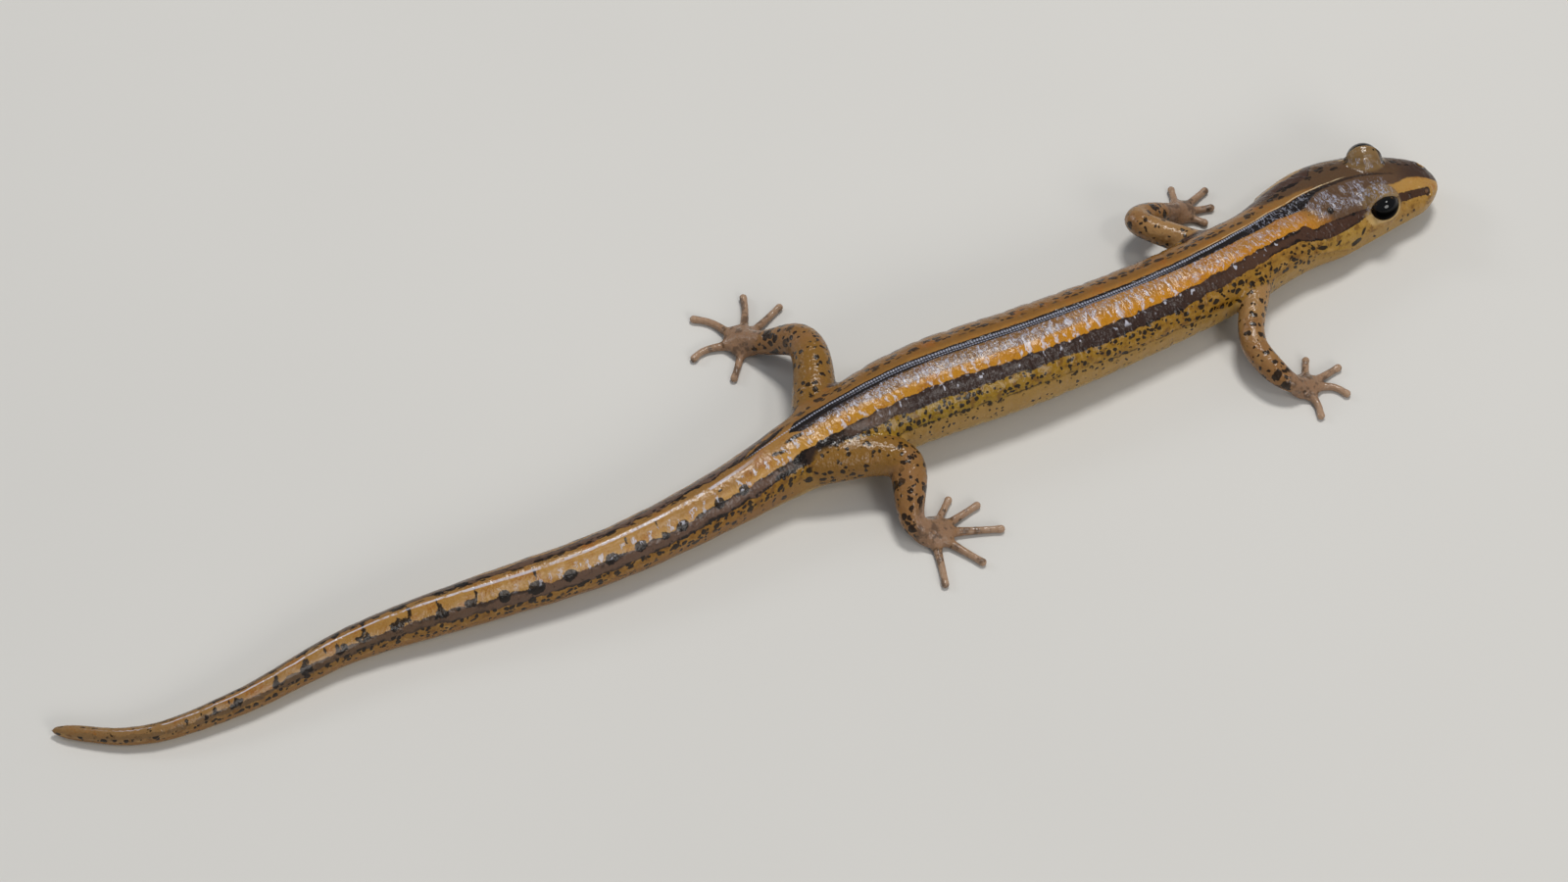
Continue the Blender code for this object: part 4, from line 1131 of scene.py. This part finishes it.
    # legs: tan with black spots that grow towards the ankle, and greyer feet
    limb = s.field("limb") + ragged * 0.2
    foot = s.field("foot") + ragged * 0.25
    leg = s.mix(s.rise(back, 25, 35), look["arm"], look["thigh"])
    leg = s.mix(s.rise(s.field("shin") + wander, 0.3, 0.7), leg, look["shank"])
    leg = s.mix(s.rise(wander + ragged, 0.0, 0.4) * 0.35, leg, tone(112, 76, 44))
    legPlace = s.vector("ADD", place, s.vector("SCALE", s.noise(place, 2.0, output="Color"), Scale=0.45))
    legDots = s.spots(legPlace, 0.42, 0.08, 0.2, 0.95)
    legDots = legDots.most(s.spots(legPlace, 0.8, 0.16, 0.36, 0.9) * s.rise(s.field("shin"), 0.5, 0.7))
    hand = s.mix(s.field("tip"), look["palm"], look["toe"])
    hand = s.mix(s.rise(s.field("tip"), 0.86, 0.98), hand, look["toeTip"])
    smudge = s.rise(s.noise(place, 1.5, 2) + ragged * 0.3, 0.5, 0.62)
    hand = s.mix(smudge * 0.6, hand, tone(64, 50, 42))
    leg = s.mix(s.rise(foot, 0.35, 0.8), leg, hand)
    footDots = s.spots(place, 0.45, 0.04, 0.13, 0.4) * s.rise(foot, 0.4, 0.7) * 0.7
    legDark = legDots * s.rise(foot, 0.75, 0.5) + footDots
    leg = s.mix(legDark * 0.93, leg, look["spotBlack"])
    onLimb = s.rise(limb, 0.25, 0.6)
    colour = s.mix(onLimb, colour, leg)
    colour = s.mix(s.rise(fine, -0.3, 0.4) * 0.25, colour, s.mix(0.5, colour, tone(52, 36, 22)))
    hole = s.field("hole")
    colour = s.mix(s.rise(hole, 0.16, 0.34), colour, tone(50, 34, 22))
    colour = s.mix(s.rise(hole, 0.5, 0.85), colour, look["nostril"])

    # wet skin: small uneven bumps, which break its shine into specks; the painted glints stand a little proud
    body = 1 - onLimb
    bumps = s.noise(s.vector("MULTIPLY", flow, (1.5, 0.7, 1)), 1.9, 1.0, 0.5, twist=0.4)
    legBumps = s.noise(place, 3.6, 1.0)
    calm = 1 - 0.6 * s.rise(back, 50, 64)
    height = bumps * look["bumps"] * body * calm + lines * (zone + headZone) * look["beads"]
    height = height + (firstRow + streaks) * look["beadRow"]
    height = height + legBumps * look["legBumps"] * onLimb + ragged * look["softSwell"]
    bump = s.add("ShaderNodeBump", {}, {"Height": height, "Distance": mm, "Strength": 1.0}, "Normal")
    roughness = look["roughness"] + ragged * 0.15
    return s.finish(
        Base_Color=colour, Roughness=roughness, Normal=bump, Coat_Weight=look["coat"],
        Coat_Roughness=look["coatRoughness"], Coat_IOR=look["coatIor"], IOR=look["ior"],
        Subsurface_Weight=look["depth"], Subsurface_Scale=look["depthScale"],
        Subsurface_Radius=look["depthTint"],
    )


eyeLook = {
    "pupil": tone(4, 3, 3), "iris": tone(22, 15, 9), "gold": tone(196, 146, 58), "rim": tone(120, 92, 52),
    "pupilAngle": 43.0, "irisAngle": 58.0, "rimWidth": 5.0, "segments": 72, "rings": 48,
    "roughness": 0.04, "ior": 1.05, "coatIor": 1.42, "coatRoughness": 0.02,
}


def eyeMaterial():
    s = Sheet("salamanderEye")
    gaze, top = s.field("gaze"), s.field("top")
    flecks = s.noise(s.place, 7.0, 4, 0.7)
    ring = s.rise(gaze, eyeLook["pupilAngle"] - 2, eyeLook["pupilAngle"] + 2)
    gold = s.rise(flecks + top * 0.1, 0.66, 0.76) * ring
    colour = s.mix(ring, eyeLook["pupil"], eyeLook["iris"])
    colour = s.mix(gold * 0.7, colour, eyeLook["gold"])
    edge, wide = eyeLook["irisAngle"], eyeLook["rimWidth"]
    rim = s.rise(gaze, edge - 1, edge + 1) * s.rise(gaze, edge + wide, edge + wide - 2)
    colour = s.mix(rim * s.rise(top, 0.1, -0.3) * s.rise(flecks, 0.4, 0.55) * 0.8, colour, eyeLook["rim"])
    shine = s.rise(top, 0.25, 0.55)
    return s.finish(
        Base_Color=colour, Roughness=eyeLook["roughness"], IOR=eyeLook["ior"], Coat_Weight=shine,
        Coat_IOR=eyeLook["coatIor"], Coat_Roughness=eyeLook["coatRoughness"],
    )


def makeEye(node, side, material):
    eye, aim, _, _ = eyePlaces(side)
    bm = bmesh.new()
    bmesh.ops.create_uvsphere(bm, u_segments=eyeLook["segments"], v_segments=eyeLook["rings"], radius=1.0)
    turned = Vector((0, 0, 1)).rotation_difference(Vector(aim))
    gaze, top = [], []
    for v in bm.verts:
        direction = turned @ v.co.normalized()
        angle = math.degrees(math.acos(max(-1, min(1, direction.dot(Vector(aim))))))
        gaze.append(angle)
        top.append(direction.z)
        v.co = (Vector(eye) + direction * headShape["eyeRadius"]) * mm
    mesh = bpy.data.meshes.new(node)
    bm.to_mesh(mesh)
    bm.free()
    setField(mesh, "gaze", np.array(gaze))
    setField(mesh, "top", np.array(top))
    mesh.materials.append(material)
    mesh.shade_smooth()
    piece = bpy.data.objects.new("eyeball" + ("Left" if side > 0 else "Right"), mesh)
    bpy.context.scene.collection.objects.link(piece)
    return piece


studio = {
    "cameraAngle": (-26.0, 53.0), "cameraFar": 0.330, "aimedAt": (0.00135, 0.00145, 0.0), "lens": 126.2,
    "floorSize": 4.0, "floor": tone(214, 211, 205), "world": (0.80, 0.86, 0.95, 1.0), "worldStrength": 0.3,
}
# soft lights: (direction from the object, distance, width, height, power, colour)
softLights = [
    ((0.26, 0.24, 0.92), 0.55, 0.17, 0.11, 1.6, (1.0, 0.99, 0.97)),
    ((0.26, -0.52, 0.81), 0.6, 0.14, 0.09, 0.35, (1.0, 0.98, 0.95)),
    ((0.1, -0.9, 0.45), 0.6, 0.3, 0.2, 0.9, (1.0, 0.98, 0.95)),
    ((-0.7, 0.8, 0.6), 0.6, 0.20, 0.14, 0.4, (0.92, 0.96, 1.0)),
]


def makeStudio():
    scene = bpy.context.scene
    scene.view_settings.view_transform = "Standard"
    world = bpy.data.worlds.new("studio")
    scene.world = world
    world.use_nodes = True
    world.node_tree.nodes["Background"].inputs["Color"].default_value = studio["world"]
    world.node_tree.nodes["Background"].inputs["Strength"].default_value = studio["worldStrength"]
    target = Vector(studio["aimedAt"])
    for k, (toward, far, wide, tall, power, colour) in enumerate(softLights):
        light = bpy.data.lights.new(f"softLight{k}", "AREA")
        light.shape = "ELLIPSE"
        light.size = wide
        light.size_y = tall
        light.energy = power
        light.color = colour
        lamp = bpy.data.objects.new(f"softLight{k}", light)
        direction = Vector(toward).normalized()
        lamp.location = target + direction * far
        lamp.rotation_euler = (-direction).to_track_quat("-Z", "Y").to_euler()
        scene.collection.objects.link(lamp)
    half = studio["floorSize"] / 2
    corners = [(-half, -half, 0), (half, -half, 0), (half, half, 0), (-half, half, 0)]
    floor = newObject("floor", corners, [(0, 1, 2, 3)])
    s = Sheet("paleFloor")
    shade = s.mix(s.noise(s.place, 0.02, 3), studio["floor"], tone(206, 203, 197))
    floor.data.materials.append(s.finish(Base_Color=shade, Roughness=0.75))
    azimuth, elevation = (math.radians(a) for a in studio["cameraAngle"])
    flat = Vector((-math.sin(azimuth), math.cos(azimuth), 0))
    forward = flat * math.cos(elevation) - Vector((0, 0, math.sin(elevation)))
    camera = bpy.data.objects.new("camera", bpy.data.cameras.new("camera"))
    camera.data.lens = studio["lens"]
    camera.data.clip_start = 0.01
    camera.location = target - forward * studio["cameraFar"]
    camera.rotation_euler = forward.to_track_quat("-Z", "Y").to_euler()
    scene.collection.objects.link(camera)
    scene.camera = camera


makeStudio()
print("studio set")
skin = makeSkin(skinMaterial())
fleshNodes = [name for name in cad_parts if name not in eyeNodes]
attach(skin, "root")
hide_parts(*fleshNodes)
eyeFinish = eyeMaterial()
for node, side in zip(eyeNodes, (1, -1)):
    eyeball = makeEye(node, side, eyeFinish)
    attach(eyeball, "root")
    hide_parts(node)
print("eyes set")
